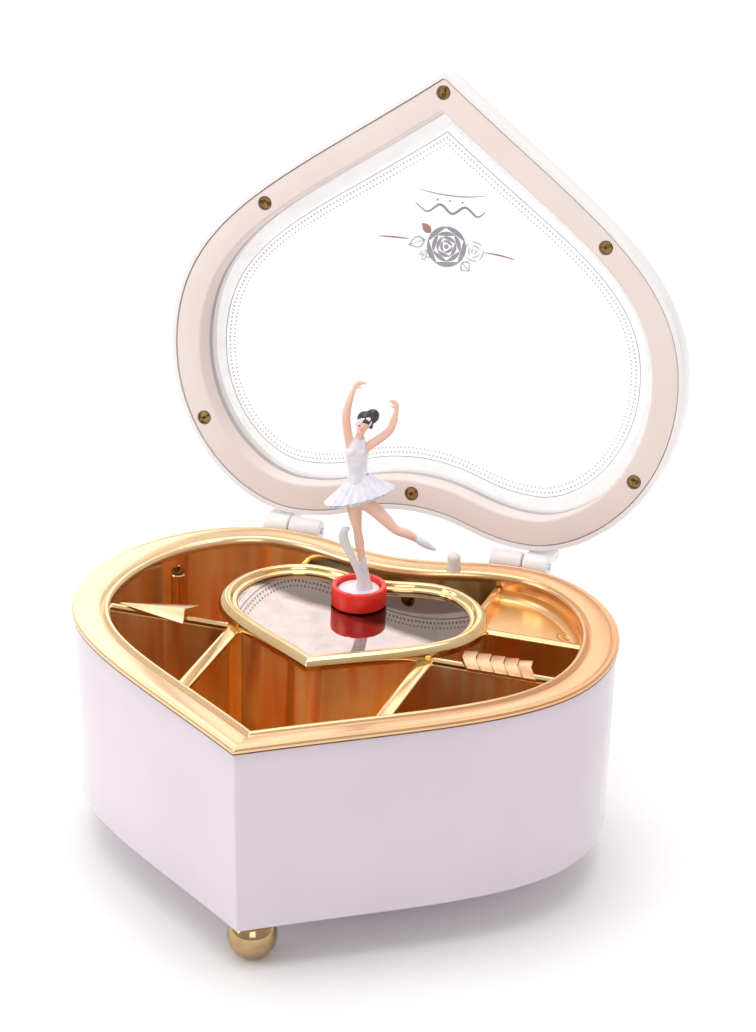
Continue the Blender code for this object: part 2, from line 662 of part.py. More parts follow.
def make_cylinder(root):
    """Pinned cylinder lying along X; each pin is a raised face of its skin."""
    around, along = 20, 18
    pivot = empty("cylinder_axis", root, (0, CYLINDER_Y, CYLINDER_Z))
    x0, x1 = CYLINDER_X
    profile = [(0, -5.6), (1.0, -5.6), (1.0, x0), (CYLINDER_RADIUS, x0)]
    profile += [(CYLINDER_RADIUS, x0 + (x1 - x0) * i / along) for i in range(1, along + 1)]
    profile += [(1.0, x1), (1.0, x1 + 3.4), (0, x1 + 3.4)]
    builder = turned(revolve(profile, around), (1, 0, 0), (0, 0, 0))
    builder.faces.ensure_lookup_table()
    skin = [f for f in builder.faces if abs(f.normal.x) < 0.1 and f.calc_center_median().yz.length > 6]
    skin.sort(key=lambda f: (round(f.calc_center_median().x, 3), f.calc_center_median().z,
                             f.calc_center_median().y))
    raised = [f for i, f in enumerate(skin) if (i * 7) % 31 == 3]
    made = bmesh.ops.inset_individual(builder, faces=raised, thickness=0.28, depth=0.0)
    for face in raised:
        out = face.calc_center_median()
        out.x = 0
        grown = bmesh.ops.extrude_discrete_faces(builder, faces=[face])
        bmesh.ops.translate(builder, vec=out.normalized() * 0.5, verts=grown["faces"][0].verts)
    node("pin_cylinder", builder, "movement_brass", pivot)
    pinion = turned(gear(16, 5.6, 6.7, 1.3, -4.8, -2.2), (1, 0, 0), (0, 0, 0))
    node("cylinder_pinion", pinion, "movement_brass", pivot)


def make_governor(root):
    """Air brake that keeps the music at an even speed."""
    x, y = GOVERNOR
    low = BEDPLATE_Z[1] + 0.3
    post = box((x - 2.2, y + 3.2, low), (x + 2.2, y + 4.7, -38.0))
    bracket = node("governor_bracket", post, "steel", root)
    foot = box((x - 2.2, y - 2.2, low), (x + 2.2, y + 3.8, low + 1.2))
    combine(bracket, node("cutter_governor_foot", foot, None, root), "UNION")
    pivot = empty("governor_axis", root, (x, y, 0))
    thread = [(0, low + 1.6), (0.9, low + 1.6)]
    for i in range(5):
        z = -49.0 + 1.8 * i
        thread += [(1.3, z), (2.2, z + 0.6), (1.3, z + 1.2)]
    thread += [(0.9, -40.0), (0.9, -37.4), (0, -37.4)]
    node("governor_worm", revolve(thread, 14), "steel", pivot)
    fan = [(5.0, -1.4), (5.2, 0.3), (0.8, 0.9), (-5.0, 1.4), (-5.2, -0.3), (-0.8, -0.9)]
    node("governor_fan", prism(fan, -37.1, -34.4), "black_plastic", pivot)


def make_orbit_drive(root):
    """Shaft, sun wheel, carrier and planet that lead the dancer's magnet round."""
    heart_plate = stage_heart(COLUMN_INSET + 2.2)
    centre = Vector(ORBIT)
    hole = [centre + (p - centre).normalized() * 1.9 for p in heart_plate]
    node("stage_bearing_plate", ring_prism(heart_plate, hole, -17.0, -15.2), "steel", root)
    node("sun_gear", gear(24, 7.0, 7.9, 1.9, -14.8, -12.6, ORBIT), "movement_brass", root)

    carrier = empty("carrier_axis", root, (*ORBIT, 0))
    shaft = node("stage_shaft", revolve([(0, -28.0), (1.5, -28.0), (1.5, -8.6), (0, -8.6)], 14),
                 "steel", carrier)
    wheel = gear(24, 8.0, 9.2, 1.2, -27.9, -26.3)
    combine(shaft, node("cutter_stage_wheel", wheel, None, carrier), "UNION")
    arm_outline = circle(16.5, 24)
    arm = node("magnet_carrier", ring_prism(arm_outline, circle(1.8, 24), -11.9, -10.4),
               "black_plastic", carrier)
    seat = revolve([(0, -13), (1.6, -13), (1.6, -9), (0, -9)], 14, (0, ORBIT_RADIUS))
    combine(arm, node("cutter_planet_seat", seat, None, carrier), "DIFFERENCE")

    planet = empty("planet_axis", carrier, (0, ORBIT_RADIUS, 0))
    pinion = node("planet_pinion", gear(12, 2.9, 3.7, 0.9, -14.8, -12.6), "movement_brass", planet)
    spindle = revolve([(0, -14.6), (1.2, -14.6), (1.2, -9.6), (0, -9.6)], 14)
    combine(pinion, node("cutter_planet_spindle", spindle, None, planet), "UNION")
    magnet = [(0, -9.3), (7.0, -9.3), (7.0, -4.0), (6.4, -3.4), (0, -3.4)]
    node("drive_magnet", revolve(magnet, 20), "steel", planet)
    return planet


# ---------------------------------------------------------------- dancer


def make_dancer(planet):
    """The loose figure: a magnet in a red ring, and the dancer standing on it."""
    turn = empty("dancer_stand", planet)
    turn.rotation_euler = (0, 0, DANCER_TURN)
    base = STAGE_TOP + 0.15
    r = BASE_RING_RADIUS
    top = base + BASE_RING_HEIGHT
    ring = [(r - 1.6, base + 0.3), (r - 0.3, base), (r, base + 0.4), (r, top - 0.4), (r - 0.4, top),
            (r - 1.2, top), (r - 1.6, top - 0.4)]
    node("figure_base_ring", revolve(ring, 28), "ring_red", turn)
    disc = [(0, base), (r - 1.9, base), (r - 1.9, top - 1.6), (r - 2.6, top - 1.2), (0, top - 1.0)]
    node("figure_base_disc", revolve(disc, 20), "figure_white", turn)

    foot = top - 0.6
    standing = limb([(1.4, 0, foot), (1.4, 0, foot + 2), (1.0, 0, 14), (-0.6, 0, 22), (-1.9, 0, 29.0)],
                    [1.9, 1.3, 0.9, 1.5, 2.2])
    legs = node("dancer_legs", standing, "figure_white", turn)
    raised = limb([(-1.6, 0, 28.4), (3.0, -0.6, 27.6), (9.6, -1.2, 24.3), (16.7, -0.6, 20.8), (22.6, 0, 17.6)],
                  [1.5, 2.1, 1.5, 0.9, 0.4])
    combine(legs, node("cutter_raised_leg", raised, None, turn), "UNION")
    swan = limb([(-1.9, -1.6, foot + 0.1), (-2.6, -1.8, 13), (-5.0, -1.8, 18.5), (-5.9, -1.8, 22.2),
                 (-4.6, -1.8, 24.2), (-2.9, -1.8, 23.6)], [1.1, 0.9, 0.8, 0.7, 0.8, 0.4], 8)
    node("swan_support", swan, "figure_white", turn)
    skirt = []
    for radius, z in ((3.2, 38.6), (6.6, 36.4), (10.6, 33.6), (10.2, 33.0), (5.0, 33.4), (3.4, 31.4)):
        ring_points = circle(radius, 24, (-0.4, 0.0))
        skirt.append([Vector((p.x, 0.62 * p.y, z + 0.26 * p.x)) for p in ring_points])
    node("dancer_skirt", loft(skirt), "figure_white", turn)
    torso = limb([(-1.8, 0, 38.9), (-1.5, 0, 41.5), (-1.0, 0, 46.0), (-0.9, 0, 49.6)],
                 [2.3, 2.2, 2.9, 2.6], 12, 0.75)
    node("dancer_bodice", torso, "figure_white", turn)
    neck = limb([(-0.9, 0, 49.9), (-0.8, 0, 51.2), (-0.3, 0, 53.2), (0.3, -0.2, 54.6), (0.7, -0.2, 57),
                 (0.9, -0.1, 59.2)], [2.4, 1.6, 1.1, 2.0, 2.9, 1.4], 12)
    bust = node("dancer_head_and_arms", neck, "figure_skin", turn)
    left = limb([(-2.0, 0, 50.8), (-4.3, -0.4, 55.0), (-5.3, -0.8, 61.0), (-2.6, -1.0, 67.0), (0.6, -1.0, 70.2)],
                [0.9, 1.0, 0.9, 0.7, 0.4], 8)
    combine(bust, node("cutter_left_arm", left, None, turn), "UNION")
    right = limb([(0.2, 0, 50.8), (3.6, 0.4, 51.2), (8.4, 0.8, 54.6), (9.8, 0.8, 60.0), (8.6, 0.6, 64.0)],
                 [0.9, 1.0, 0.9, 0.7, 0.4], 8)
    combine(bust, node("cutter_right_arm", right, None, turn), "UNION")
    bun = limb([(3.9, 0.4, 58.0), (4.6, 0.5, 59.2), (5.2, 0.6, 60.6), (5.4, 0.6, 61.6)],
               [0.6, 1.7, 1.5, 0.5], 10)
    node("dancer_hair_bun", bun, "figure_hair", turn)


# ---------------------------------------------------------------- whole box


def stand_on_floor(root):
    """Move the whole box so that its bounding box is centred on the floor."""
    bpy.context.view_layer.update()
    low = Vector((1e9, 1e9, 1e9))
    high = -low
    for obj in bpy.data.objects:
        if obj.type != "MESH" or obj.hide_render:
            continue
        for vertex in obj.data.vertices:
            place = obj.matrix_world @ vertex.co
            low = Vector(map(min, low, place))
            high = Vector(map(max, high, place))
    root.location = (-(low.x + high.x) / 2, -(low.y + high.y) / 2, -low.z)
    bpy.context.view_layer.update()


def main():
    clear_scene()
    root = empty("jewellery_box")
    lid = empty("lid_axis", root, (0, HINGE_Y, HINGE_Z))
    lid.rotation_euler = (-LID_OPEN, 0, 0)
    make_casing(root)
    make_feet(root)
    make_tray(root)
    make_channel_liner(root)
    make_arrow(root)
    make_stage(root)
    make_hinges(root, lid)
    make_lid(lid)
    make_plunger(root)
    make_movement_frame(root)
    make_comb(root)
    make_spring_drive(root)
    make_cylinder(root)
    make_governor(root)
    planet = make_orbit_drive(root)
    make_dancer(planet)
    stand_on_floor(root)


main()
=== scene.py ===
from math import cos, pi, radians, sin, sqrt, tau

import bmesh
import bpy
from mathutils import Matrix, Vector


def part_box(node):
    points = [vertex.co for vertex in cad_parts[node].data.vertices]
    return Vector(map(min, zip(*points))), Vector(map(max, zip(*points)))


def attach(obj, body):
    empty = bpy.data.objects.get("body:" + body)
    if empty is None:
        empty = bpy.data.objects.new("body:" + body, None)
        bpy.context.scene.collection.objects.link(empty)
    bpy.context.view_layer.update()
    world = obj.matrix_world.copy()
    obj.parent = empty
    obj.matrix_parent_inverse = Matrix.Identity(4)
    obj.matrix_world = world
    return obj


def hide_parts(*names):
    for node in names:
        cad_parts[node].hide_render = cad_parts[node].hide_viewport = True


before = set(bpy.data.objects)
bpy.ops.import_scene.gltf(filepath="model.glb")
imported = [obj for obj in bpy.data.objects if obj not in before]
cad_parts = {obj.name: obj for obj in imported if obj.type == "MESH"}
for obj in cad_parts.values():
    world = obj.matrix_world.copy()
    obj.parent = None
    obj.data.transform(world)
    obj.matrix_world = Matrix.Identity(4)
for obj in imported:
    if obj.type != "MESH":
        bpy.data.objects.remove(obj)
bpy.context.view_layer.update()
mm = 0.001

# Outline of the heart in millimetres, on the outer edge of the gold rim: X across the lobes, tip
# towards -Y, height 0 at the top of the rim.
heartSize = {"halfWidth": 82.5, "tipY": -89.9, "lobeX": 38.2, "lobeY": 53.3, "cleftY": 46.6,
    "flankAngle": radians(37), "backRatio": 0.7, "stageWide": 0.498, "stageDeep": 0.452,
    "stageY": 8.1}
# The lid is modelled shut and turned open about the hinge line.
lidTurn = radians(-100.4)
dancerTurn = radians(18.85)
hingeLine = Vector((0.0, 57.1, -0.7))

trayLow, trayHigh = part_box("compartment_tray")
boxOrigin = Vector((0.0, trayLow.y - heartSize["tipY"] * mm, trayHigh.z))
boxPlace = Matrix.Translation(boxOrigin) @ Matrix.Scale(mm, 4)
lidPlace = (boxPlace @ Matrix.Translation(hingeLine) @ Matrix.Rotation(lidTurn, 4, "X")
    @ Matrix.Translation(-hingeLine))
ringLow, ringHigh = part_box("figure_base_ring")
dancerPlace = (Matrix.Translation(((ringLow.x + ringHigh.x) / 2, (ringLow.y + ringHigh.y) / 2,
    boxOrigin.z)) @ Matrix.Rotation(dancerTurn, 4, "Z") @ Matrix.Scale(mm, 4))


# Node trees: a socket that can be used in sums, and a tree that makes any node.
class Signal:
    def __init__(self, tree, socket):
        self.tree, self.socket = tree, socket

    def maths(self, operation, first, second):
        return self.tree.add("ShaderNodeMath", {"operation": operation}, {0: first, 1: second})

    def __add__(self, other):
        return self.maths("ADD", self, other)

    def __radd__(self, other):
        return self.maths("ADD", other, self)

    def __sub__(self, other):
        return self.maths("SUBTRACT", self, other)

    def __rsub__(self, other):
        return self.maths("SUBTRACT", other, self)

    def __mul__(self, other):
        return self.maths("MULTIPLY", self, other)

    def __rmul__(self, other):
        return self.maths("MULTIPLY", other, self)

    def __truediv__(self, other):
        return self.maths("DIVIDE", self, other)

    def __pow__(self, other):
        return self.maths("POWER", self, other)


class Tree:
    def __init__(self, nodeTree):
        self.nodeTree = nodeTree

    def add(self, kind, settings=None, sockets=None, output=0):
        made = self.nodeTree.nodes.new(kind)
        for key, value in (settings or {}).items():
            if key == "stops":
                for place, colour in value[2:]:
                    made.color_ramp.elements.new(place)
                for element, (place, colour) in zip(made.color_ramp.elements, value):
                    element.position, element.color = place, (*colour, 1.0)
            else:
                setattr(made, key, value)
        for key, value in (sockets or {}).items():
            if isinstance(value, Signal):
                self.nodeTree.links.new(value.socket, made.inputs[key])
            else:
                made.inputs[key].default_value = value
        return Signal(self, made.outputs[output])


class Finish(Tree):
    def __init__(self, name, colour, roughness, metallic=0.0, **fixed):
        self.material = bpy.data.materials.new(name)
        self.material.use_nodes = True
        self.material.diffuse_color = (*colour, 1.0)
        super().__init__(self.material.node_tree)
        self.shader = self.nodeTree.nodes["Principled BSDF"]
        self.put("Base Color", (*colour, 1.0))
        self.put("Roughness", roughness)
        self.put("Metallic", metallic)
        for key, value in fixed.items():
            self.put(key.replace("_", " "), value)

    def put(self, socket, value):
        if isinstance(value, Signal):
            self.nodeTree.links.new(value.socket, self.shader.inputs[socket])
        else:
            self.shader.inputs[socket].default_value = value

    def place(self, stretch=(1.0, 1.0, 1.0)):
        here = self.add("ShaderNodeTexCoord", output="Object")
        return self.add("ShaderNodeMapping", None, {"Vector": here, "Scale": stretch})

    def parts(self):
        split = self.add("ShaderNodeSeparateXYZ", None, {0: self.place()}).socket.node
        return [Signal(self, output) for output in split.outputs]

    def noise(self, size, detail=3.0, stretch=(1.0, 1.0, 1.0), distortion=0.0):
        # size is in millimetres
        return self.add("ShaderNodeTexNoise", None, {"Vector": self.place(stretch),
            "Scale": 1.0 / (size * mm), "Detail": detail, "Roughness": 0.55,
            "Distortion": distortion}, "Fac")

    def span(self, value, low, high, newLow, newHigh):
        return self.add("ShaderNodeMapRange", None, {"Value": value, "From Min": low,
            "From Max": high, "To Min": newLow, "To Max": newHigh})

    def blend(self, factor, first, second):
        return self.add("ShaderNodeMix", {"data_type": "RGBA"},
            {0: factor, 6: (*first, 1.0) if isinstance(first, tuple) else first, 7: (*second, 1.0)
            if isinstance(second, tuple) else second}, 2)

    def bump(self, height, depth, strength=0.5):
        self.put("Normal", self.add("ShaderNodeBump", None,
            {"Height": height, "Distance": depth * mm, "Strength": strength}))


# Materials, kept by name.
finishes = {}


def plasticFinish(name, colour, deeper, roughness, grain=0.004, coat=0.35):
    made = Finish(name, colour, roughness, Coat_Roughness=0.06, Specular_IOR_Level=0.5)
    cloud = made.noise(38.0, 2.0)
    fine = made.noise(0.9, 4.0)
    made.put("Base Color", made.blend(made.span(cloud, 0.35, 0.65, 0.0, 1.0), colour, deeper))
    made.put("Roughness", roughness + 0.10 * (fine - 0.5) + 0.06 * (cloud - 0.5))
    made.put("Coat Weight", made.span(cloud, 0.3, 0.7, coat * 0.8, coat))
    made.bump(fine, grain, 0.4)
    finishes[name] = made


def metalFinish(name, colour, deeper, roughness, spread, cloudSize, grainSize, grain,
        stretch=(1, 1, 1), metal=1.0):
    # with no deeper colour the caller sets Base Color itself
    made = Finish(name, colour, roughness, metal)
    cloud = made.noise(cloudSize, 3.0, distortion=0.4)
    fine = made.noise(grainSize, 4.0, stretch)
    if deeper:
        made.put("Base Color", made.blend(made.span(cloud, 0.35, 0.7, 0.0, 1.0), colour, deeper))
    made.put("Roughness", roughness + spread * (cloud - 0.45) + 0.5 * spread * (fine - 0.5))
    made.bump(fine + 0.6 * cloud, grain, 0.6)
    finishes[name] = made
    return made


# name: colour, deeper colour, roughness, grain depth, coat
plastics = {
    "casingGloss": ((0.69, 0.605, 0.67), (0.72, 0.635, 0.695), 0.16, 0.004, 0.5),
    "knuckleRose": ((0.86, 0.79, 0.785), (0.89, 0.83, 0.825), 0.22, 0.004, 0.4),
    "lidGloss": ((0.90, 0.865, 0.86), (0.93, 0.90, 0.895), 0.24),
    "frameSatin": ((0.85, 0.725, 0.685), (0.88, 0.76, 0.725), 0.38, 0.008, 0.1),
    "ringRed": ((0.90, 0.028, 0.014), (0.82, 0.02, 0.012), 0.34, 0.006, 0.15),
    "figureWhite": ((0.82, 0.80, 0.86), (0.90, 0.89, 0.93), 0.36, 0.02, 0.15),
    "figureSkin": ((0.97, 0.66, 0.535), (0.94, 0.585, 0.45), 0.42, 0.012, 0.1),
    "figureHair": ((0.018, 0.015, 0.018), (0.035, 0.03, 0.03), 0.30, 0.05, 0.3),
    "blackSatin": ((0.012, 0.010, 0.010), (0.03, 0.02, 0.016), 0.34, 0.02, 0.2),
    "lipRose": ((0.62, 0.10, 0.10), (0.55, 0.08, 0.09), 0.35),
    "printGrey": ((0.30, 0.29, 0.33), (0.38, 0.37, 0.41), 0.45, 0.004, 0.0),
    "printPale": ((0.50, 0.49, 0.51), (0.60, 0.59, 0.61), 0.45, 0.004, 0.0),
    "printLace": ((0.74, 0.73, 0.75), (0.82, 0.81, 0.83), 0.45, 0.004, 0.0),
    "milkPlastic": ((0.93, 0.925, 0.93), (0.96, 0.955, 0.96), 0.2),
    "printBrown": ((0.36, 0.19, 0.15), (0.48, 0.28, 0.22), 0.45, 0.004, 0.0)}
for name, values in plastics.items():
    plasticFinish(name, *values)
milk = finishes["milkPlastic"]
milk.put("Alpha", milk.span(milk.noise(30.0, 2.0), 0.3, 0.7, 0.16, 0.22))


def satinRim():
    # pale gold that warms and darkens towards the right lobe: a painted reflection of brighter
    # surroundings on the left and darker ones on the right
    made = metalFinish("goldSatin", (0.97, 0.76, 0.48), None, 0.24, 0.06, 22.0, 0.35, 0.010,
        metal=0.96)
    across = made.parts()[0]
    paintedDarkRight = made.blend(made.noise(22.0, 2.0), (0.86, 0.50, 0.27), (0.78, 0.42, 0.21))
    paintedBrightLeft = made.blend(made.noise(16.0, 2.0), (0.93, 0.72, 0.47), (0.90, 0.64, 0.35))
    # painted reflection: paler gold on the left, darker copper on the right
    made.put("Base Color", made.blend(made.span(across, -60 * mm, 70 * mm, 0.0, 1.0), paintedBrightLeft, paintedDarkRight))


def mottledGold(name, size, roughness, metal, upright):
    # bright amber plating painted with soft bands of brown, rose and cream that stand in for the
    # reflections in the compartments (painted reflection)
    made = metalFinish(name, (1.0, 0.66, 0.30), None, roughness, 0.10, 12.0, 4.5, 0.10,
        (1, 1, 0.35), metal)
    reflectionBands = made.noise(size, 2.0, (1, 1, upright), 0.5)
    # painted reflection: brown, amber and cream bands set into the base colour
    made.put("Base Color", made.add("ShaderNodeValToRGB",
        {"stops": [(0.33, (0.62, 0.27, 0.06)), (0.41, (0.98, 0.50, 0.15)),
        (0.50, (1.0, 0.62, 0.22)), (0.58, (1.0, 0.78, 0.42)), (0.64, (0.98, 0.50, 0.20)),
        (0.72, (0.60, 0.36, 0.10))]}, {"Fac": reflectionBands}))


satinRim()
mottledGold("goldDeep", 13.0, 0.15, 0.78, 0.12)
mottledGold("goldFloor", 6.0, 0.26, 0.55, 1.0)

# name: colour, deeper colour, roughness, its spread, cloud size, grain size, grain depth, stretch
metals = {
    # the dark brown on the next line is painted shade and dark reflection for the gap between
    # casing and rim
    "seamBrown": ((0.13, 0.06, 0.03), (0.20, 0.10, 0.045), 0.3, 0.06, 9.0, 0.5, 0.006),
    # the feet's gold is a darker copy of the bright gold, painted dark to stand in for darker
    # surroundings reflected in the feet (painted reflection)
    "goldBall": ((0.60, 0.43, 0.24), (0.42, 0.27, 0.12), 0.12, 0.06, 9.0, 1.2, 0.006),
    "goldBright": ((0.88, 0.65, 0.36), (0.82, 0.54, 0.25), 0.10, 0.08, 14.0, 1.2, 0.006),
    "goldShelf": ((0.93, 0.64, 0.34), (0.86, 0.54, 0.26), 0.33, 0.08, 16.0, 0.3, 0.012),
    "screwBronze": ((0.50, 0.32, 0.13), (0.34, 0.20, 0.08), 0.30, 0.14, 1.4, 0.25, 0.02),
    "brushedSteel": ((0.62, 0.62, 0.64), (0.50, 0.50, 0.53), 0.28, 0.12, 6.0, 0.5, 0.02,
        (0.06, 1, 1)),
    "workedBrass": ((0.78, 0.57, 0.26), (0.62, 0.42, 0.17), 0.27, 0.12, 5.0, 0.6, 0.02,
        (1, 1, 0.1))}
for name, values in metals.items():
    metalFinish(name, *values)

# The stage glass colour turns from pearl in front to near black behind along a slanted line: a
# painted reflection of the bright lid window and the darker lid frame. Its normal leans back.
glass = metalFinish("stageGlass", (0.31, 0.235, 0.205), None, 0.02, 0.02, 30.0, 8.0, 0.0005)
across, deep, _ = glass.parts()
shade = glass.span(deep + across * 0.3 + 0.004 * (glass.noise(16.0, 2.0) - 0.5), -1.5 * mm, 2.5
    * mm, 0.0, 1.0)
# painted reflection: pearl where the lid window would show in the mirror, near black where the lid
# frame would show
paintedPearlReflection = glass.blend(glass.span(glass.noise(6.0, 4.0), 0.4, 0.6, 0.0, 1.0), (0.62, 0.47, 0.42),
    (0.50, 0.44, 0.42))
glass.put("Base Color", glass.blend(shade, paintedPearlReflection, (0.105, 0.065, 0.05)))
glass.bump(deep * -1.0, 42.0, 1.0)

# Clear lid window with a faint pearl veil that thickens and thins in soft patches.
pearl = Finish("windowPearl", (0.9, 0.9, 0.92), 0.06, Coat_Weight=0.4, Specular_IOR_Level=0.6)
veil = pearl.noise(17.0, 6.0, distortion=1.6)
tint = pearl.noise(9.0, 4.0, distortion=2.2)
pearl.put("Base Color", pearl.add("ShaderNodeValToRGB", {"stops": [(0.36, (0.95, 0.80, 0.79)),
    (0.47, (0.95, 0.92, 0.94)), (0.56, (0.93, 0.95, 0.97)), (0.66, (0.96, 0.89, 0.84))]},
    {"Fac": tint}))
pearl.put("Alpha", pearl.span(veil, 0.38, 0.68, 0.07, 0.2))
pearl.put("Roughness", pearl.span(veil, 0.3, 0.7, 0.04, 0.14))
finishes["windowPearl"] = pearl

# Lilac dress, painted darker in soft patches that stand in for shade in its folds (painted shade).
dress = Finish("dressLilac", (0.82, 0.80, 0.88), 0.40, Sheen_Weight=0.2)
fold = dress.noise(1.7, 4.0, (1.0, 1.0, 0.5))
sparkle = dress.noise(0.45, 2.0)
# painted shade: darker lilac in the patches, paler lilac between them
dress.put("Base Color", dress.blend(dress.span(fold, 0.36, 0.62, 0.0, 1.0), (0.80, 0.76, 0.90),
    (0.91, 0.90, 0.95)))
dress.put("Roughness", dress.span(sparkle, 0.35, 0.7, 0.28, 0.5))
dress.bump(sparkle + fold, 0.06, 0.5)
finishes["dressLilac"] = dress
print("finishes made:", len(finishes))


# Outlines and shapes, in millimetres.
def cubic(a, b, c, d, steps):
    a, b, c, d = Vector(a), Vector(b), Vector(c), Vector(d)
    shares = [i / steps for i in range(steps)]
    return [a * (1 - t) ** 3 + b * 3 * (1 - t) ** 2 * t + c * 3 * (1 - t) * t * t + d * t ** 3
        for t in shares]


def tipArc(tip, radius):
    if radius == 0:
        return [tip]
    angle = heartSize["flankAngle"]
    centre = tip + Vector((0, radius / cos(angle)))
    return [centre + radius * Vector((sin(angle * k / 4), -cos(angle * k / 4))) for k in range(5)]


def heart(inset=0.0, backRatio=1.0, steps=20, tipRadius=0.0):
    back = inset * backRatio
    half = heartSize["halfWidth"] - inset
    angle = heartSize["flankAngle"]
    tip = Vector((0.0, heartSize["tipY"] + inset / cos(angle)))
    lobe = Vector((heartSize["lobeX"], heartSize["lobeY"] - back))
    cleft = Vector((0.0, heartSize["cleftY"] - back))
    shrink = half / heartSize["halfWidth"]
    reach = (half - heartSize["lobeX"]) / (heartSize["halfWidth"] - heartSize["lobeX"])
    along = 0.75 * half * Vector((cos(angle), sin(angle)))
    side = Vector((half, 0.0))
    flank = cubic(tip, tip + along, side - Vector((0, 38 * shrink)), side, steps + 2)
    shoulder = cubic(side, side + Vector((0, 33.2 * lobe.y / heartSize["lobeY"])), lobe
        + Vector((18.5 * reach, 0)), lobe, steps)
    valley = cubic(lobe, lobe - Vector((17, 0)), cleft + Vector((18.7, 0.4)), cleft, steps - 1)
    right = tipArc(tip, tipRadius) + flank[1:] + shoulder + valley
    return right + [cleft] + [Vector((-p.x, p.y)) for p in reversed(right[1:])]


def stageHeart(inset=0.0, steps=16, tipRadius=0.0):
    wide, deep = heartSize["stageWide"], heartSize["stageDeep"]
    return [Vector((p.x * wide, p.y * deep + heartSize["stageY"]))
        for p in heart(inset / deep, 1.0, steps, tipRadius / deep)]


def atHeight(outline, z):
    return [Vector((p[0], p[1], z)) for p in outline]


def circle(radius, count, centre=(0.0, 0.0)):
    return [Vector((centre[0] + radius * cos(tau * i / count), centre[1] + radius
        * sin(tau * i / count))) for i in range(count)]


def loft(rings, closed=False):
    shape = bmesh.new()
    rows = [[shape.verts.new(p) for p in ring] for ring in rings]
    count = len(rows[0])
    pairs = list(zip(rows, rows[1:])) + ([(rows[-1], rows[0])] if closed else [])
    for low, high in pairs:
        for i in range(count):
            j = (i + 1) % count
            shape.faces.new((low[i], low[j], high[j], high[i]))
    if not closed:
        shape.faces.new(list(reversed(rows[0])))
        shape.faces.new(rows[-1])
    return shape


def heartBand(profile, backRatio=1.0, steps=20, tipRadius=0.0):
    return loft([atHeight(heart(inset, backRatio, steps, tipRadius), z) for inset, z in profile],
        True)


def stageBand(profile, tipRadius=0.0):
    return loft([atHeight(stageHeart(inset, 18, tipRadius), z) for inset, z in profile], True)


def prism(outline, low, high):
    return loft([atHeight(outline, low), atHeight(outline, high)])


def revolve(profile, count=48, at=(0.0, 0.0)):
    shape = bmesh.new()
    rows = []
    for radius, z in profile:
        points = [(at[0], at[1], z)] if radius == 0 else [(*p, z)
            for p in circle(radius, count, at)]
        rows.append([shape.verts.new(p) for p in points])
    if profile[0][0] > 0:
        rows.append(rows[0])
    for low, high in zip(rows, rows[1:]):
        for i in range(count):
            j = (i + 1) % count
            ring = (low[i % len(low)], low[j % len(low)], high[j % len(high)], high[i % len(high)])
            corners = list(dict.fromkeys(ring))
            if len(corners) > 2:
                shape.faces.new(corners)
    return shape


def rod(radius, low, high, count, at):
    return revolve([(0, low), (radius, low), (radius, high), (0, high)], count, at)


def spline(points, share):
    # a smooth curve through the points, share from 0 to 1; points may have any number of values
    last = len(points) - 1
    i = min(int(share * last), last - 1)
    t = share * last - i
    at = [points[max(0, min(last, k))] for k in (i - 1, i, i + 1, i + 2)]
    return [0.5 * (2 * b + (c - a) * t + (2 * a - 5 * b + 4 * c - d) * t * t
        + (3 * b - a - 3 * c + d) * t ** 3) for a, b, c, d in zip(*at)]


def limb(points, count=20, steps=32, side=(0, 1, 0)):
    # points are (x, y, z, radius across, radius deep); both ends are rounded
    rows = [spline(points, i / steps) for i in range(steps + 1)]
    centres = [Vector(row[:3]) for row in rows]
    rings = []
    for i, row in enumerate(rows):
        ahead = centres[min(i + 1, steps)] - centres[max(i - 1, 0)]
        across = ahead.cross(Vector(side)).normalized()
        deep = across.cross(ahead).normalized()
        wide, thick = max(row[3], 0.05), max(row[4], 0.05)

        def ring(shrink, slide):
            middle = centres[i] + ahead.normalized() * slide
            return [middle + shrink * (across * wide * cos(tau * k / count) + deep * thick
                * sin(tau * k / count)) for k in range(count)]
        if i == 0:
            rings += [ring(0.3, -0.9 * thick), ring(0.75, -0.6 * thick)]
        rings.append(ring(1.0, 0.0))
        if i == steps:
            rings += [ring(0.75, 0.6 * thick), ring(0.3, 0.9 * thick)]
    return loft(rings)


def blob(centre, radii, lean=0.0, count=24):
    # an egg of three radii, leaned about Y
    shape = bmesh.new()
    bmesh.ops.create_uvsphere(shape, u_segments=count, v_segments=count // 2, radius=1.0)
    bmesh.ops.transform(shape, verts=shape.verts, matrix=Matrix.Translation(centre)
        @ Matrix.Rotation(lean, 4, "Y") @ Matrix.Diagonal((*radii, 1.0)))
    return shape


def together(*shapes):
    mesh = bpy.data.meshes.new("joined")
    joined = bmesh.new()
    for shape in shapes:
        shape.to_mesh(mesh)
        shape.free()
        joined.from_mesh(mesh)
    bpy.data.meshes.remove(mesh)
    return joined


def settled(obj):
    # the object as its modifiers leave it, as a plain mesh
    bpy.context.view_layer.update()
    graph = bpy.context.evaluated_depsgraph_get()
    mesh = bpy.data.meshes.new_from_object(obj.evaluated_get(graph), preserve_all_data_layers=True,
        depsgraph=graph)
    obj.modifiers.clear()
    obj.data = mesh
    return obj


def makeObject(name, shape, place=boxPlace):
    bmesh.ops.remove_doubles(shape, verts=shape.verts, dist=1e-4)
    bmesh.ops.recalc_face_normals(shape, faces=shape.faces)
    shape.transform(place)
    mesh = bpy.data.meshes.new(name)
    shape.to_mesh(mesh)
    shape.free()
    obj = bpy.data.objects.new(name, mesh)
    bpy.context.scene.collection.objects.link(obj)
    return obj


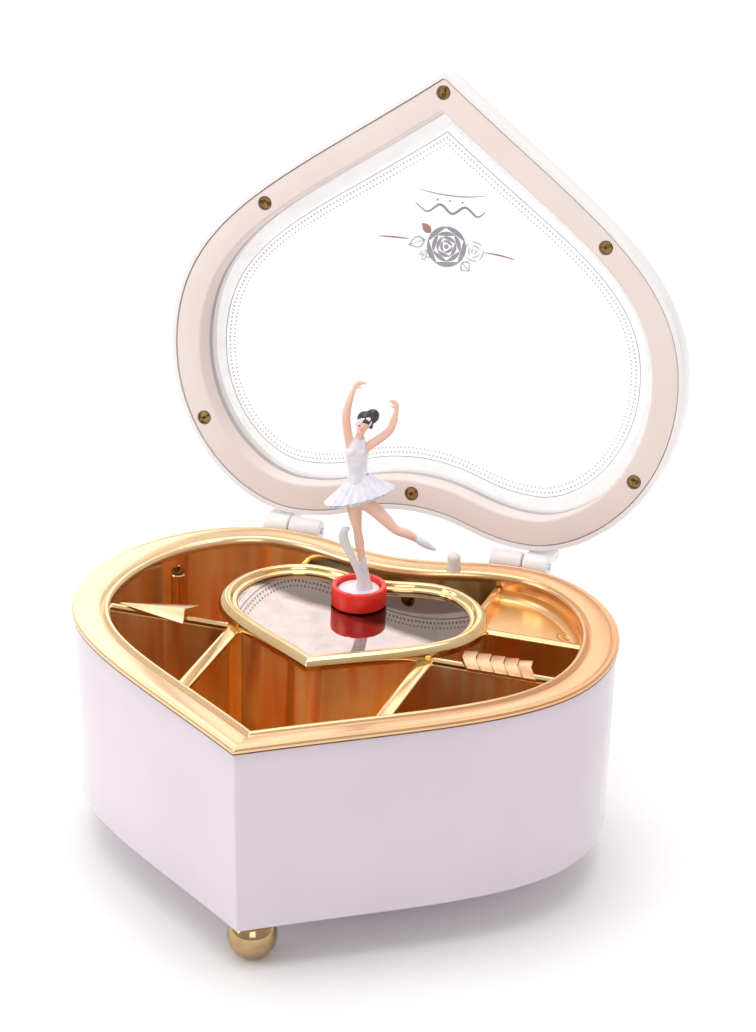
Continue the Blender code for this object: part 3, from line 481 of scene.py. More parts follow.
def changed(obj, others, operation):
    # obj cut by, joined with or kept inside each of the others, which are used up
    for other in others:
        change = obj.modifiers.new("change", "BOOLEAN")
        change.operation, change.solver, change.object = operation, "EXACT", other
    settled(obj)
    for other in others:
        bpy.data.objects.remove(other, do_unlink=True)
    return obj


def belong(obj, finish, body, nodes=(), sharp=34):
    obj.data.materials.clear()
    obj.data.materials.append(finishes[finish].material)
    obj.data.shade_smooth()
    obj.data.set_sharp_from_angle(angle=radians(sharp))
    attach(obj, body)
    if nodes:
        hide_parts(*nodes)
    return obj


def soften(obj, width):
    bevel = obj.modifiers.new("soften", "BEVEL")
    bevel.width, bevel.segments = width * mm, 2
    bevel.limit_method, bevel.angle_limit = "ANGLE", radians(28)
    return settled(obj)


def piece(name, shape, finish, body, slot, nodes=(), place=boxPlace, sharp=34, voxel=0.0, smooth=3,
        tools=(), operation="DIFFERENCE", soft=0.0):
    # voxel, in millimetres, fuses overlapping shapes into one skin; tools are cut out or joined on
    obj = makeObject(name, shape, place)
    if voxel:
        skin = obj.modifiers.new("skin", "REMESH")
        skin.mode, skin.voxel_size = "VOXEL", voxel * mm
        ease = obj.modifiers.new("ease", "SMOOTH")
        ease.factor, ease.iterations = 0.5, smooth
        settled(obj)
    if tools:
        changed(obj, tools, operation)
    if soft:
        soften(obj, soft)
    return belong(obj, finish, body, nodes, sharp)


def gold(name, shape, finish="goldBright", nodes=(), **extra):
    return piece(name, shape, finish, "box", "gold_plating", nodes, **extra)


bothSides = (("Left", -1), ("Right", 1))

# Casing and feet.
casing = {"height": 59.5, "setBack": 0.6, "draft": 1.5, "wall": 2.0, "floorTop": -57.3, "edge": 0.9,
    "tipRadius": 1.0, "keyHole": 3.4, "keyPlace": (-15.0, 6.0)}


def makeCasing():
    bottom, lowInset = -casing["height"], casing["setBack"] + casing["draft"]
    profile = []
    for k in range(7):
        turn = pi / 2 * k / 6
        rise = casing["edge"] * (1 - cos(turn))
        profile.append((lowInset + casing["edge"] * (1 - sin(turn)), bottom + rise))
    lip = ((0.02, -2.2), (0.12, -1.9), (0.35, -1.8), (casing["wall"], -1.8))
    profile += [(casing["setBack"] + step, z) for step, z in lip]
    profile.append((lowInset + casing["wall"], casing["floorTop"]))
    rings = [atHeight(heart(inset, 1.0, 24, casing["tipRadius"]), z) for inset, z in profile]
    hole = makeObject("keyHole", rod(casing["keyHole"], bottom - 1, -50, 40, casing["keyPlace"]))
    piece("casingShell", loft(rings), "casingGloss", "box", "casing_plastic", ["casing_shell"],
        sharp=30, tools=[hole])


feet = {"radius": 7.3, "drop": 14.0, "flat": 7.0, "padRadius": 1.6, "neck": 4.4,
    "places": {"front": (0.0, -75.0), "left": (-46.0, 26.0), "right": (46.0, 26.0)}}


def makeFeet():
    radius = feet["radius"]
    centre = -casing["height"] - feet["drop"] + feet["flat"]
    for name, place in feet["places"].items():
        low = -feet["flat"]
        profile = [(0, centre + low), (feet["padRadius"], centre + low)]
        for k in range(25):
            z = low + 0.05 + (6.0 - low) * (1 - cos(pi * k / 24)) / 2
            profile.append((sqrt(radius ** 2 - z * z), centre + z))
        top = -casing["height"] - 0.02
        profile += [(feet["neck"], centre + 6.15), (feet["neck"], top), (0, top)]
        gold("foot" + name.capitalize(), revolve(profile, 64, place), "goldBall", [f"foot_{name}"])


makeCasing()
makeFeet()
print("casing and feet made")

# Gold tray.
tray = {"floor": -44.0, "wall": 1.5, "inset": 11.6, "dividerX": 30.0, "arrowY": -12.5,
    "shelfY": 15.7, "shelfZ": -8.0, "wellLeft": -27.0, "wellRight": 34.0, "lipWidth": 4.4,
    "lipHeight": 1.1, "post": (-61.5, 21.0), "plungerHole": 2.2, "shelf": (34.0, 15.4, 95.0, 62.0)}
plunger = {"place": (19.5, 45.2), "radius": 2.05, "rod": 0.5, "foot": -46.5, "crown": 3.2,
    "dome": 1.7, "taper": (-8, -10)}


def flankY(x, outline):
    side = outline[:len(outline) // 2]
    for a, b in zip(side, side[1:]):
        if a.x <= x <= b.x:
            return a.y + (b.y - a.y) * (x - a.x) / (b.x - a.x)


def edgeX(y, inset, ratio=heartSize["backRatio"]):
    # X where the right flank crosses y; its first 140 points stop short of the valley
    side = [p for p in heart(inset, ratio, 60)[:140] if p.x >= 0]
    for a, b in zip(side, side[1:]):
        if (a.y - y) * (b.y - y) <= 0 and a.y != b.y:
            return a.x + (b.x - a.x) * (y - a.y) / (b.y - a.y)


def lippedWall(start, end, top, lip=tray["lipWidth"]):
    # a thin wall between two points, with a wider rounded lip along its top
    low, half, lip = tray["floor"] - 1, 0.9, lip / 2
    start, end = Vector(start), Vector(end)
    across = Vector((end.y - start.y, start.x - end.x)).normalized()
    drop = tray["lipHeight"]
    section = [(-half, low), (half, low), (half, top - drop - 0.5), (lip, top - drop),
        (lip, top - 0.45), (lip - 0.14, top - 0.15), (lip - 0.42, top), (lip * 0.4, top + 0.04)]
    section += [(-x, z) for x, z in reversed(section[2:])]
    return loft([[Vector((*(at + across * x), z)) for x, z in section] for at in (start, end)])


def makeTray():
    ratio, inset = heartSize["backRatio"], tray["inset"]
    rim = [(0.0, -1.3), (0.0, -0.75), (0.1, -0.4), (0.35, -0.12), (0.75, 0.0), (1.05, -0.03),
        (1.3, -0.16), (1.55, -0.2), (1.85, -0.1), (2.3, -0.02), (3.2, -0.05), (5.6, -0.36),
        (7.8, -0.8), (8.5, -1.02), (8.9, -1.32), (9.2, -1.46), (9.45, -1.28), (9.7, -0.86),
        (10.05, -0.6), (10.45, -0.52), (10.85, -0.62), (11.2, -0.92), (11.45, -1.4), (inset, -2.3)]
    under = [(10.1, -3.2), (4.6, -3.0), (4.6, -1.3)]
    hole = makeObject("plungerHole", rod(tray["plungerHole"], -4, 3, 32, plunger["place"]))
    gold("trayRim", heartBand(rim + [(inset, -3.0)] + under, ratio, 24, 0.5), "goldSatin",
        ["compartment_tray"], sharp=30, tools=[hole])
    # a dark brown strip filling the gap where the casing meets the rim: painted shade and dark
    # reflection in that gap
    gapShade = [(0.06, -1.78), (0.06, -1.3), (0.9, -1.3), (0.9, -1.78)]
    gold("rimGapShade", heartBand(gapShade, ratio, 24, 0.5), "seamBrown")
    outside, foot = inset - tray["wall"], tray["floor"] - 2.0
    wall = [(inset - 0.01, -2.6), (inset, -9.0), (inset, foot), (outside, foot), (outside, -3.2)]
    gold("trayWall", heartBand(wall, ratio, 24, 0.5), "goldDeep")

    wallLine = heart(inset - 0.75, ratio, 24)
    low, high = tray["floor"] - 1.7, tray["floor"]
    outer, inner = heart(inset - 0.75, ratio, 18), stageHeart(1.6, 18)
    levels = ((outer, low), (outer, high), (inner, high), (inner, low))
    gold("trayFloor", loft([atHeight(line, z) for line, z in levels], True), "goldFloor")
    gold("stageColumn", stageBand([(0.8, -46.4), (0.8, -3.2), (2.4, -3.2), (2.4, -46.4)]),
        "goldDeep")

    column, x, y = stageHeart(1.6, 24), tray["dividerX"], tray["arrowY"]
    inner = max(p.x for p in stageHeart(0.0, 24) if abs(p.y - y) < 2.2) + 0.4
    for word, side in bothSides:
        ends = [(side * x, flankY(x, line)) for line in (wallLine, column)]
        gold("divider" + word, lippedWall(*ends, -3.0))
        ends = [(side * 26, y), (side * edgeX(y, inset - 0.75), y)]
        gold("arrowWall" + word, lippedWall(*ends, -3.4, 1.9), "goldDeep")
        angles = [tau * (k + 0.5) / 8 for k in range(8)]
        shaft = [[Vector((side * at, y + 1.1 * cos(a), -2.9 + 1.1 * sin(a))) for a in angles]
            for at in (inner, edgeX(y, inset - 0.6))]
        gold("arrowShaft" + word, loft(shaft))

    y, z = tray["shelfY"], tray["shelfZ"]
    gold("shelfRidge", lippedWall((37, y), (edgeX(y, inset - 0.75), y), -4.6, 3.4))
    for word, x, low in (("Left", tray["wellLeft"], 26), ("Right", tray["wellRight"], 20)):
        gold("wellWall" + word, lippedWall((x, low), (x, 43.9), -4.0, 2.2))
    left, near, right, far = tray["shelf"]
    corners = [(left, near), (right, near), (right, far), (left, far)]
    curve = [(14.2, z + 0.02), (13.2, z + 0.25), (12.4, z + 0.85), (11.9, z + 1.8), (11.7, z + 3.2)]
    cove = [(11.2, z - 0.5), (14.4, z - 0.5), *curve, (11.2, z + 3.2)]
    for name, shape in (("shelfPlate", prism(heart(inset - 0.5, ratio, 24), z - 2, z)),
            ("shelfCove", heartBand(cove, ratio, 24))):
        keep = makeObject("keep", prism(corners, -20, 0))
        gold(name, shape, "goldShelf", tools=[keep], operation="INTERSECT")

    low = tray["floor"] - 1
    post = [(0, low), (2.2, low), (2.2, -5.4), (1.9, -5.05), (0, -5.0)]
    gold("trayPost", revolve(post, 40, tray["post"]))


makeTray()

# Small raised hearts, pressed as an ornament into the shelf.
ornament = {"centre": (62.0, 27.0), "sizes": (4.0, 2.3), "line": 0.34, "height": 0.16}
rings, middle, z = [], Vector(ornament["centre"]), tray["shelfZ"]
half = heartSize["halfWidth"]
for size in ornament["sizes"]:
    outer = [Vector((middle.x + p.x * size / half, middle.y + p.y * size / half))
        for p in heart(0.0, 1.0, 10)]
    inner = [middle + (p - middle) * (1 - ornament["line"] / size) for p in outer]
    high = z + ornament["height"]
    levels = ((outer, z - 0.2), (outer, high), (inner, high), (inner, z - 0.2))
    rings.append(loft([atHeight(line, level) for line, level in levels], True))
gold("shelfOrnament", together(*rings))

# Dark cover between the stage and the back wall.
cover = {"halfWidth": 25, "startY": 20, "gap": 0.4, "low": -9.0, "high": -7.5}


def behindStage(line):
    return [p for p in line if abs(p.x) < cover["halfWidth"] and p.y > cover["startY"]]


front = behindStage(stageHeart(-cover["gap"], 24))
back = behindStage(heart(tray["inset"] + cover["gap"], heartSize["backRatio"], 24))
outline = sorted(front, key=lambda p: p.x) + sorted(back, key=lambda p: -p.x)
piece("coverStrip", prism(outline, cover["low"], cover["high"]), "blackSatin", "box",
    "black_plastic", ["channel_liner"])

# Arrow.
arrow = {"tip": -66.5, "barb": -43.5, "notch": -45.5, "half": 6.7, "low": -1.5, "crest": 2.2,
    "feathers": (41.0, 62.0), "reach": 5.3, "slant": 3.5, "barbs": 5}


def makeArrow():
    y, low = tray["arrowY"], arrow["low"]
    outline = [(arrow["tip"], 0), (arrow["barb"], -arrow["half"]), (arrow["notch"], 0),
        (arrow["barb"], arrow["half"])]
    crest = [low + 0.6, low + 0.6, low + arrow["crest"], low + 0.6]
    head = bmesh.new()
    base = [head.verts.new((px, y + py, low)) for px, py in outline]
    top = [head.verts.new((px, y + py, z)) for (px, py), z in zip(outline, crest)]
    for ring in (base, top):
        head.faces.new((ring[0], ring[1], ring[2]))
        head.faces.new((ring[0], ring[2], ring[3]))
    for i in range(4):
        j = (i + 1) % 4
        head.faces.new((base[i], base[j], top[j], top[i]))
    gold("arrowHead", head, "goldSatin", ["arrow_head"], sharp=40, soft=0.16)

    # feathers: overlapping blades that slant across the shaft as one plate
    start, end = arrow["feathers"]
    step = (end - start) / arrow["barbs"]
    blades = []
    for side, slant in ((-1, 0.9 * arrow["slant"]), (1, -0.3 * arrow["slant"])):
        for i in range(arrow["barbs"]):
            x0, x1 = start + i * step, start + (i + 1) * step - 0.16
            blade = bmesh.new()
            corners = [(x0, 0.0), (x1, 0.0), (x1 + slant, arrow["reach"] + 0.25),
                (x0 + slant, arrow["reach"])]
            heights = [low + 1.5, low + 1.95, low + 1.3, low + 0.95]
            under = [blade.verts.new((px, y + side * py, low + 0.05)) for px, py in corners]
            over = [blade.verts.new((p[0], y + side * p[1], z)) for p, z in zip(corners, heights)]
            blade.faces.new(under)
            blade.faces.new(over)
            for a in range(4):
                b = (a + 1) % 4
                blade.faces.new((under[a], under[b], over[b], over[a]))
            blades.append(blade)
    gold("arrowFletching", together(*blades), "goldSatin", ["arrow_fletching"], sharp=40, soft=0.1)


makeArrow()
print("tray and arrow made")

# Stage.
bezel = [(0.0, -2.9), (0.0, -1.35), (0.2, -0.72), (0.6, -0.15), (1.15, 0.33), (1.8, 0.66),
    (2.35, 0.79), (2.85, 0.72), (3.25, 0.45), (3.5, 0.12), (3.62, -0.25), (3.82, -0.46),
    (4.2, -0.5), (4.55, -0.52), (4.85, -0.68), (5.08, -0.92), (5.2, -1.2), (5.2, -1.36),
    (1.6, -1.36), (1.6, -2.9)]
gold("stageBezel", stageBand(bezel, 0.35), nodes=["stage_bezel"], sharp=30)
piece("stageMirror", prism(stageHeart(2.0, 18), -2.7, -1.4), "stageGlass", "box", "stage_mirror",
    ["stage_mirror"])

# Hinges.
hinge = {"radius": 3.4, "x": (27.8, 37.9, 38.4, 46.3), "leafY": (53.9, 56.6), "round": 0.55}


def knuckle(low, high, leafEnd):
    radius, r = hinge["radius"], hinge["round"]
    rows = [(low, radius - r), (low + 0.3 * r, radius - 0.3 * r), (low + r, radius),
        (high - r, radius), (high - 0.3 * r, radius - 0.3 * r), (high, radius - r)]
    barrel = loft([[Vector((x, hingeLine.y + p.x, hingeLine.z + p.y)) for p in circle(at, 40)]
        for x, at in rows])
    near, far = hinge["leafY"]
    corners = [(low, near), (high, near), (high, far), (low, far)]
    return barrel, prism(corners, *sorted((hingeLine.z, leafEnd)))


owners = (("casing", "box", boxPlace, hinge["x"][:2], -13.0, "knuckleRose"),
    ("lid", "lid", lidPlace, hinge["x"][2:], 10.5, "lidGloss"))
for word, side in bothSides:
    for owner, body, place, span, end, finish in owners:
        barrel, flap = knuckle(*sorted(side * x for x in span), end)
        flap = soften(makeObject("leaf", flap, place), 0.35)
        piece(f"{owner}Knuckle{word}", barrel, finish, body, f"{owner}_plastic",
            [f"{owner}_knuckle_{word.lower()}"], place, 30, tools=[flap], operation="UNION")
print("stage and hinges made")

# Lid.
lid = {"screwInset": 5.4, "tipScrewInset": 5.2, "screwY": (-43.0, 27.0), "headFace": 0.9,
    "printZ": 8.6, "printHeight": 0.07, "lineInset": 15.2, "lineWidth": 0.3,
    "dots": ((16.7, 0.40), (18.2, 0.34)), "dotSpacing": 1.25}
shellProfile = [(1.5, 0.6), (0.45, 0.6), (0.14, 0.7), (0.0, 1.0), (0.0, 8.2), (0.12, 9.6),
    (0.45, 10.9), (1.1, 12.1), (2.1, 13.1), (3.6, 13.8), (6.0, 14.25), (9.5, 14.5), (9.9, 14.5),
    (9.9, 11.2), (4.4, 11.1), (2.2, 8.6)]
flangeProfile = [(9.87, 11.3), (9.87, 14.45), (12.8, 14.6), (13.5, 14.5), (13.9, 14.2),
    (14.0, 13.8), (14.0, 11.5), (13.8, 11.3)]
frameProfile = [(1.8, 1.15), (1.8, 2.6), (8.2, 2.6), (8.4, 8.2), (9.9, 8.2), (9.9, 2.1),
    (9.82, 1.6), (9.6, 1.2), (9.25, 0.98), (8.7, 0.9), (5.4, 0.86), (2.2, 0.9), (1.95, 0.96)]
piece("lidShell", heartBand(shellProfile, 1.0, 24, 1.6), "lidGloss", "lid", "lid_plastic",
    ["lid_shell"], lidPlace, 30)
piece("lidFlange", heartBand(flangeProfile, 1.0, 24, 0.6), "milkPlastic", "lid", "lid_plastic", (),
    lidPlace, 30)


def screwPlaces():
    middle = lid["screwInset"]
    sides = [(sign * edgeX(y, middle, 1.0), y) for y in lid["screwY"] for sign in (-1, 1)]
    tip = heartSize["tipY"] + lid["tipScrewInset"] / cos(heartSize["flankAngle"])
    return [(0.0, tip), *sides, (0.0, heartSize["cleftY"] - middle)]


places = screwPlaces()
pocket = [(0, 0), (2.35, 0), (2.25, 1.0), (2.25, 2.1), (1.3, 2.1), (1.3, 4), (0, 4)]
pockets = [makeObject("pocket", revolve(pocket, 36, place), lidPlace) for place in places]
piece("lidFrame", heartBand(frameProfile, 1.0, 24, 1.0), "frameSatin", "lid", "frame_plastic",
    ["lid_inner_frame"], lidPlace, 30, tools=pockets)
piece("lidWindow", prism(heart(8.7, 1.0, 24), 8.6, 10.8), "windowPearl", "lid", "window_clear",
    ["lid_window"], lidPlace)


# Geometry node trees.
def nodeGroup(name, inputs):
    group = bpy.data.node_groups.new(name, "GeometryNodeTree")
    group.interface.new_socket("Geometry", in_out="INPUT", socket_type="NodeSocketGeometry")
    for label, kind in inputs.items():
        group.interface.new_socket(label, in_out="INPUT", socket_type=f"NodeSocket{kind}")
    group.interface.new_socket("Geometry", in_out="OUTPUT", socket_type="NodeSocketGeometry")
    tree = Tree(group)
    entry = group.nodes.new("NodeGroupInput")
    return tree, {socket.name: Signal(tree, socket) for socket in entry.outputs if socket.name}


def closeGroup(tree, geometry, material):
    real = tree.add("GeometryNodeRealizeInstances", None, {0: geometry})
    painted = tree.add("GeometryNodeSetMaterial", None, {"Geometry": real, "Material": material})
    leave = tree.nodeTree.nodes.new("NodeGroupOutput")
    tree.nodeTree.links.new(painted.socket, leave.inputs[0])
    return tree.nodeTree


def growing(name, mesh, group, values, finish):
    # an object that runs a node tree on a starting mesh
    obj = bpy.data.objects.new(name, mesh)
    modifier = obj.modifiers.new(name, "NODES")
    modifier.node_group = group
    values = {**values, "Material": finishes[finish].material}
    for item in group.interface.items_tree:
        if item.in_out == "INPUT" and item.name in values:
            modifier[item.identifier] = values[item.name]
    bpy.context.scene.collection.objects.link(obj)
    return obj


def grown(name, mesh, group, values, finish, body, nodes=(), sharp=34):
    obj = settled(growing(name, mesh, group, values, finish))
    return belong(obj, finish, body, nodes, sharp)


def pointMesh(name, points, place, joined=False):
    mesh = bpy.data.meshes.new(name)
    edges = [(i, (i + 1) % len(points)) for i in range(len(points))] if joined else []
    mesh.from_pydata([place @ Vector(p) for p in points], edges, [])
    return mesh


def screwGroup():
    tree, given = nodeGroup("crossScrews", {"Head Radius": "Float", "Head Height": "Float",
        "Slot Length": "Float", "Slot Width": "Float", "Slot Depth": "Float", "Facing": "Vector",
        "Seed": "Int", "Material": "Material"})
    head = tree.add("GeometryNodeMeshCylinder", {"fill_type": "NGON"},
        {"Vertices": 36, "Side Segments": 1, "Radius": given["Head Radius"],
        "Depth": given["Head Height"]})
    crown = tree.add("GeometryNodeMeshCone", None, {"Vertices": 36,
        "Radius Bottom": given["Head Radius"], "Radius Top": given["Head Radius"] * 0.72,
        "Depth": given["Head Height"] * 0.4})
    crown = tree.add("GeometryNodeTransform", None, {"Geometry": crown,
        "Translation": tree.add("ShaderNodeCombineXYZ", None, {"Z": given["Head Height"] * 0.5})})
    solid = tree.add("GeometryNodeMeshBoolean", {"operation": "UNION"})
    joined = tree.add("GeometryNodeMeshBoolean", {"operation": "DIFFERENCE"})
    tree.nodeTree.links.new(head.socket, solid.socket.node.inputs["Mesh 2"])
    tree.nodeTree.links.new(crown.socket, solid.socket.node.inputs["Mesh 2"])
    tree.nodeTree.links.new(solid.socket, joined.socket.node.inputs["Mesh 1"])
    for axis in "XY":
        sizes = {"X": given["Slot Width"], "Y": given["Slot Width"], "Z": given["Slot Depth"] * 2}
        sizes[axis] = given["Slot Length"]
        size = tree.add("ShaderNodeCombineXYZ", None, sizes)
        bar = tree.add("GeometryNodeMeshCube", None, {"Size": size})
        bar = tree.add("GeometryNodeTransform", None, {"Geometry": bar,
            "Translation": tree.add("ShaderNodeCombineXYZ", None,
            {"Z": given["Head Height"] * 0.9})})
        tree.nodeTree.links.new(bar.socket, joined.socket.node.inputs["Mesh 2"])
    points = tree.add("GeometryNodeMeshToPoints", None, {"Mesh": given["Geometry"]})
    placed = tree.add("GeometryNodeInstanceOnPoints", None,
        {"Points": points, "Instance": joined, "Rotation": given["Facing"]})
    spin = tree.add("FunctionNodeRandomValue", {"data_type": "FLOAT"},
        {2: 0.0, 3: tau, "Seed": given["Seed"]}, 1)
    spun = tree.add("GeometryNodeRotateInstances", None, {"Instances": placed,
        "Rotation": tree.add("ShaderNodeCombineXYZ", None, {"Z": spin})})
    return closeGroup(tree, spun, given["Material"])


crossScrews = screwGroup()
screwSizes = {"Head Radius": 1.9 * mm, "Head Height": 0.8 * mm, "Slot Length": 2.6 * mm,
    "Slot Width": 0.62 * mm, "Slot Depth": 0.7 * mm, "Seed": 7}
heads = [(x, y, lid["headFace"] + 0.62) for x, y in places]
grown("lidScrews", pointMesh("screwPoints", heads, lidPlace), crossScrews,
    {**screwSizes, "Facing": (lidTurn + pi, 0.0, 0.0)}, "screwBronze", "lid",
    [f"lid_screw_{k}" for k in range(1, 7)])
grown("trayScrew", pointMesh("screwPoints", [(*tray["post"], -4.35)], boxPlace), crossScrews,
    {**screwSizes, "Facing": (0.0, 0.0, 0.0)}, "screwBronze", "box", ["tray_screw"])


def dotGroup():
    tree, given = nodeGroup("dotRow", {"Spacing": "Float", "Dot Radius": "Float",
        "Dot Height": "Float", "Facing": "Vector", "Material": "Material"})
    line = tree.add("GeometryNodeMeshToCurve", None, {"Mesh": given["Geometry"]})
    resampled = tree.add("GeometryNodeResampleCurve", {"mode": "LENGTH"},
        {"Curve": line, "Length": given["Spacing"]})
    dot = tree.add("GeometryNodeMeshCylinder", {"fill_type": "NGON"},
        {"Vertices": 8, "Radius": given["Dot Radius"], "Depth": given["Dot Height"]})
    placed = tree.add("GeometryNodeInstanceOnPoints", None,
        {"Points": resampled, "Instance": dot, "Rotation": given["Facing"]})
    return closeGroup(tree, placed, given["Material"])


def printed(name, shape, finish):
    return piece(name, shape, finish, "lid", "window_clear", (), lidPlace)


dotRow = dotGroup()
for k, (inset, radius) in enumerate(lid["dots"]):
    line = [(p.x, p.y, lid["printZ"] - 0.04) for p in heart(inset, 1.0, 40)]
    grown(f"laceDots{k + 1}", pointMesh("dotLine", line, lidPlace, True), dotRow,
        {"Spacing": lid["dotSpacing"] * mm, "Dot Radius": radius * mm,
        "Dot Height": lid["printHeight"] * mm, "Facing": (lidTurn, 0.0, 0.0)}, "printLace", "lid")
high, start = lid["printZ"] - 0.01, lid["lineInset"]
low, end = high - lid["printHeight"], start + lid["lineWidth"]
printed("laceLine", heartBand([(start, high), (end, high), (end, low), (start, low)], 1.0, 24),
    "printPale")
print("lid made")

# Rose print on the window.
rose = {"centre": (2.5, -35.6), "thick": 0.08, "rings": ((6.2, 1.5, 5, 1.35, 0.2),
    (4.55, 1.25, 5, 1.32, 0.85), (3.15, 1.05, 4, 1.65, 0.3), (1.95, 0.85, 3, 2.15, 0.9))}


def printShape(outline):
    return prism(outline, lid["printZ"] - rose["thick"], lid["printZ"] - 0.01)


def petal(centre, radius, wide, start, sweep, count=14):
    # a crescent lying round a centre, thickest in the middle
    outer, inner = [], []
    for k in range(count + 1):
        angle = start + sweep * (k / count - 0.5)
        swell = sin(pi * k / count) ** 0.6
        out = Vector((cos(angle), sin(angle)))
        outer.append(Vector(centre) + (radius + 0.08 * wide * swell) * out)
        inner.append(Vector(centre) + (radius - wide * swell) * out)
    return outer + list(reversed(inner[1:-1]))


def leaf(base, tip, wide, count=10):
    base, tip = Vector(base), Vector(tip)
    along = tip - base
    across = Vector((-along.y, along.x)).normalized()
    shares = [k / count for k in range(count + 1)]
    left = [base + along * t + across * wide * sin(pi * t ** 0.8) for t in shares]
    right = [base + along * t - across * wide * sin(pi * t ** 0.8) for t in shares[-2:0:-1]]
    return left + right


def ribbon(points, wide, count=30):
    # a stroke along a smooth curve, thinner towards its ends
    rows = [Vector(spline([(*p,) for p in points], k / count)) for k in range(count + 1)]
    left, right = [], []
    for k, at in enumerate(rows):
        ahead = rows[min(k + 1, count)] - rows[max(k - 1, 0)]
        swell = 0.35 + 0.65 * sin(pi * k / count)
        across = Vector((-ahead.y, ahead.x)).normalized() * wide * swell
        left.append(at + across)
        right.append(at - across)
    return left + list(reversed(right))


def makeRose():
    cx, cy = rose["centre"]

    def stroke(points, wide, down=0.0, count=30):
        # a ribbon through points given from the middle of the rose
        return printShape(ribbon([(cx + x, cy - down + y) for x, y in points], wide, count))

    def dot(x, y, radius, count):
        return printShape([Vector((x, y)) + p for p in circle(radius, count)])

    big = []
    for radius, wide, number, sweep, turn in rose["rings"]:
        for k in range(number):
            big.append(printShape(petal((cx, cy), radius, wide, turn + tau * k / number, sweep)))
    printed("roseLarge", together(*big, dot(cx, cy, 0.75, 14)), "printGrey")
    small = []
    for x, y, size in ((cx + 8.9, cy + 0.4, 3.1), (cx - 6.6, cy + 3.4, 1.7)):
        for radius, number, turn in ((1.0, 4, 0.3), (0.62, 3, 1.0), (0.3, 2, 0.2)):
            for k in range(number):
                small.append(printShape(petal((x, y), size * radius, 0.46,
                    turn + tau * k / number, tau / number * 0.9)))
    for base, tip in (((cx - 6.9, cy - 1.4), (cx - 12.2, cy + 1.0)),
            ((cx + 5.2, cy + 4.2), (cx + 8.0, cy + 6.6))):
        line = leaf(base, tip, 1.9)
        middle = (Vector(base) + Vector(tip)) / 2
        inner = [middle + (p - middle) * 0.7 for p in line]
        high, low = lid["printZ"] - 0.01, lid["printZ"] - rose["thick"]
        small.append(loft([atHeight(line, high), atHeight(line, low), atHeight(inner, low),
            atHeight(inner, high)], True))
        small.append(printShape(ribbon([base, middle, tip], 0.2)))
    printed("rosesSmall", together(*small), "printPale")
    brown = [printShape(leaf((cx - 5.3, cy - 3.6), (cx - 8.4, cy - 6.4), 1.3)),
        stroke([(-12.0, -1.0), (-16.5, -0.9), (-22.0, -0.6)], 0.28),
        stroke([(12.2, 0.3), (17.0, 0.5), (22.0, 1.2)], 0.28)]
    printed("roseStems", together(*brown), "printBrown")

    # an open scroll below the rose
    down = 11.5
    wave = [(-11, -1.0), (-7, 1.4), (-3, -1.2), (1, 1.2), (5, -1.2), (9, 1.2), (11.5, -0.6)]
    under = [(-10.5, -5.2), (-4, -4.4), (4, -4.4), (11, -5.4)]
    scroll = [stroke(wave, 0.42, down, 60), stroke(under, 0.2, down)]
    scroll += [dot(cx - 4 + 4 * k, cy - down - 2.6, 0.35, 10) for k in range(3)]
    printed("scrollPrint", together(*scroll), "printGrey")


makeRose()
print("window print made")

# Start and stop pin.
radius, crown = plunger["radius"], plunger["crown"]
thin, foot, (neck, shoulder) = plunger["rod"], plunger["foot"], plunger["taper"]
pinTop = [(0, foot), (thin, foot), (thin, neck), (radius, shoulder), (radius, crown)]
for k in range(1, 7):
    turn = pi / 2 * k / 6
    pinTop.append((radius * cos(turn) if k < 6 else 0, crown + plunger["dome"] * sin(turn)))
piece("startStopPin", revolve(pinTop, 40, plunger["place"]), "frameSatin", "plunger",
    "frame_plastic", ["start_stop_plunger"])

# Dancer.
dancer = {"ringRadius": 8.3, "ringHeight": 6.0, "base": -1.05, "bore": 6.7}


def makeBase():
    r, base = dancer["ringRadius"], dancer["base"]
    top = base + dancer["ringHeight"]
    ring = [(dancer["bore"], base + 0.3), (r - 0.35, base), (r - 0.1, base + 0.1), (r, base + 0.4),
        (r, top - 0.5), (r - 0.12, top - 0.18), (r - 0.4, top), (dancer["bore"] + 0.4, top),
        (dancer["bore"] + 0.1, top - 0.12), (dancer["bore"], top - 0.45)]
    notch = makeObject("notch", blob((-3.0, -7.8, top), (0.95, 0.9, 0.7)), dancerPlace)
    piece("baseRing", revolve(ring, 96), "ringRed", "dancer", "ring_red", ["figure_base_ring"],
        dancerPlace, 30, tools=[notch])
    disc = [(0, base), (6.4, base), (6.4, top - 1.7), (6.2, top - 1.4), (5.7, top - 1.2),
        (3.0, top - 1.05), (0, top - 1.0)]
    piece("baseDisc", revolve(disc, 64), "figureWhite", "dancer", "figure_white",
        ["figure_base_disc"], dancerPlace)


def moved(shapes, by):
    for shape in shapes:
        bmesh.ops.translate(shape, verts=shape.verts, vec=by)
    return shapes


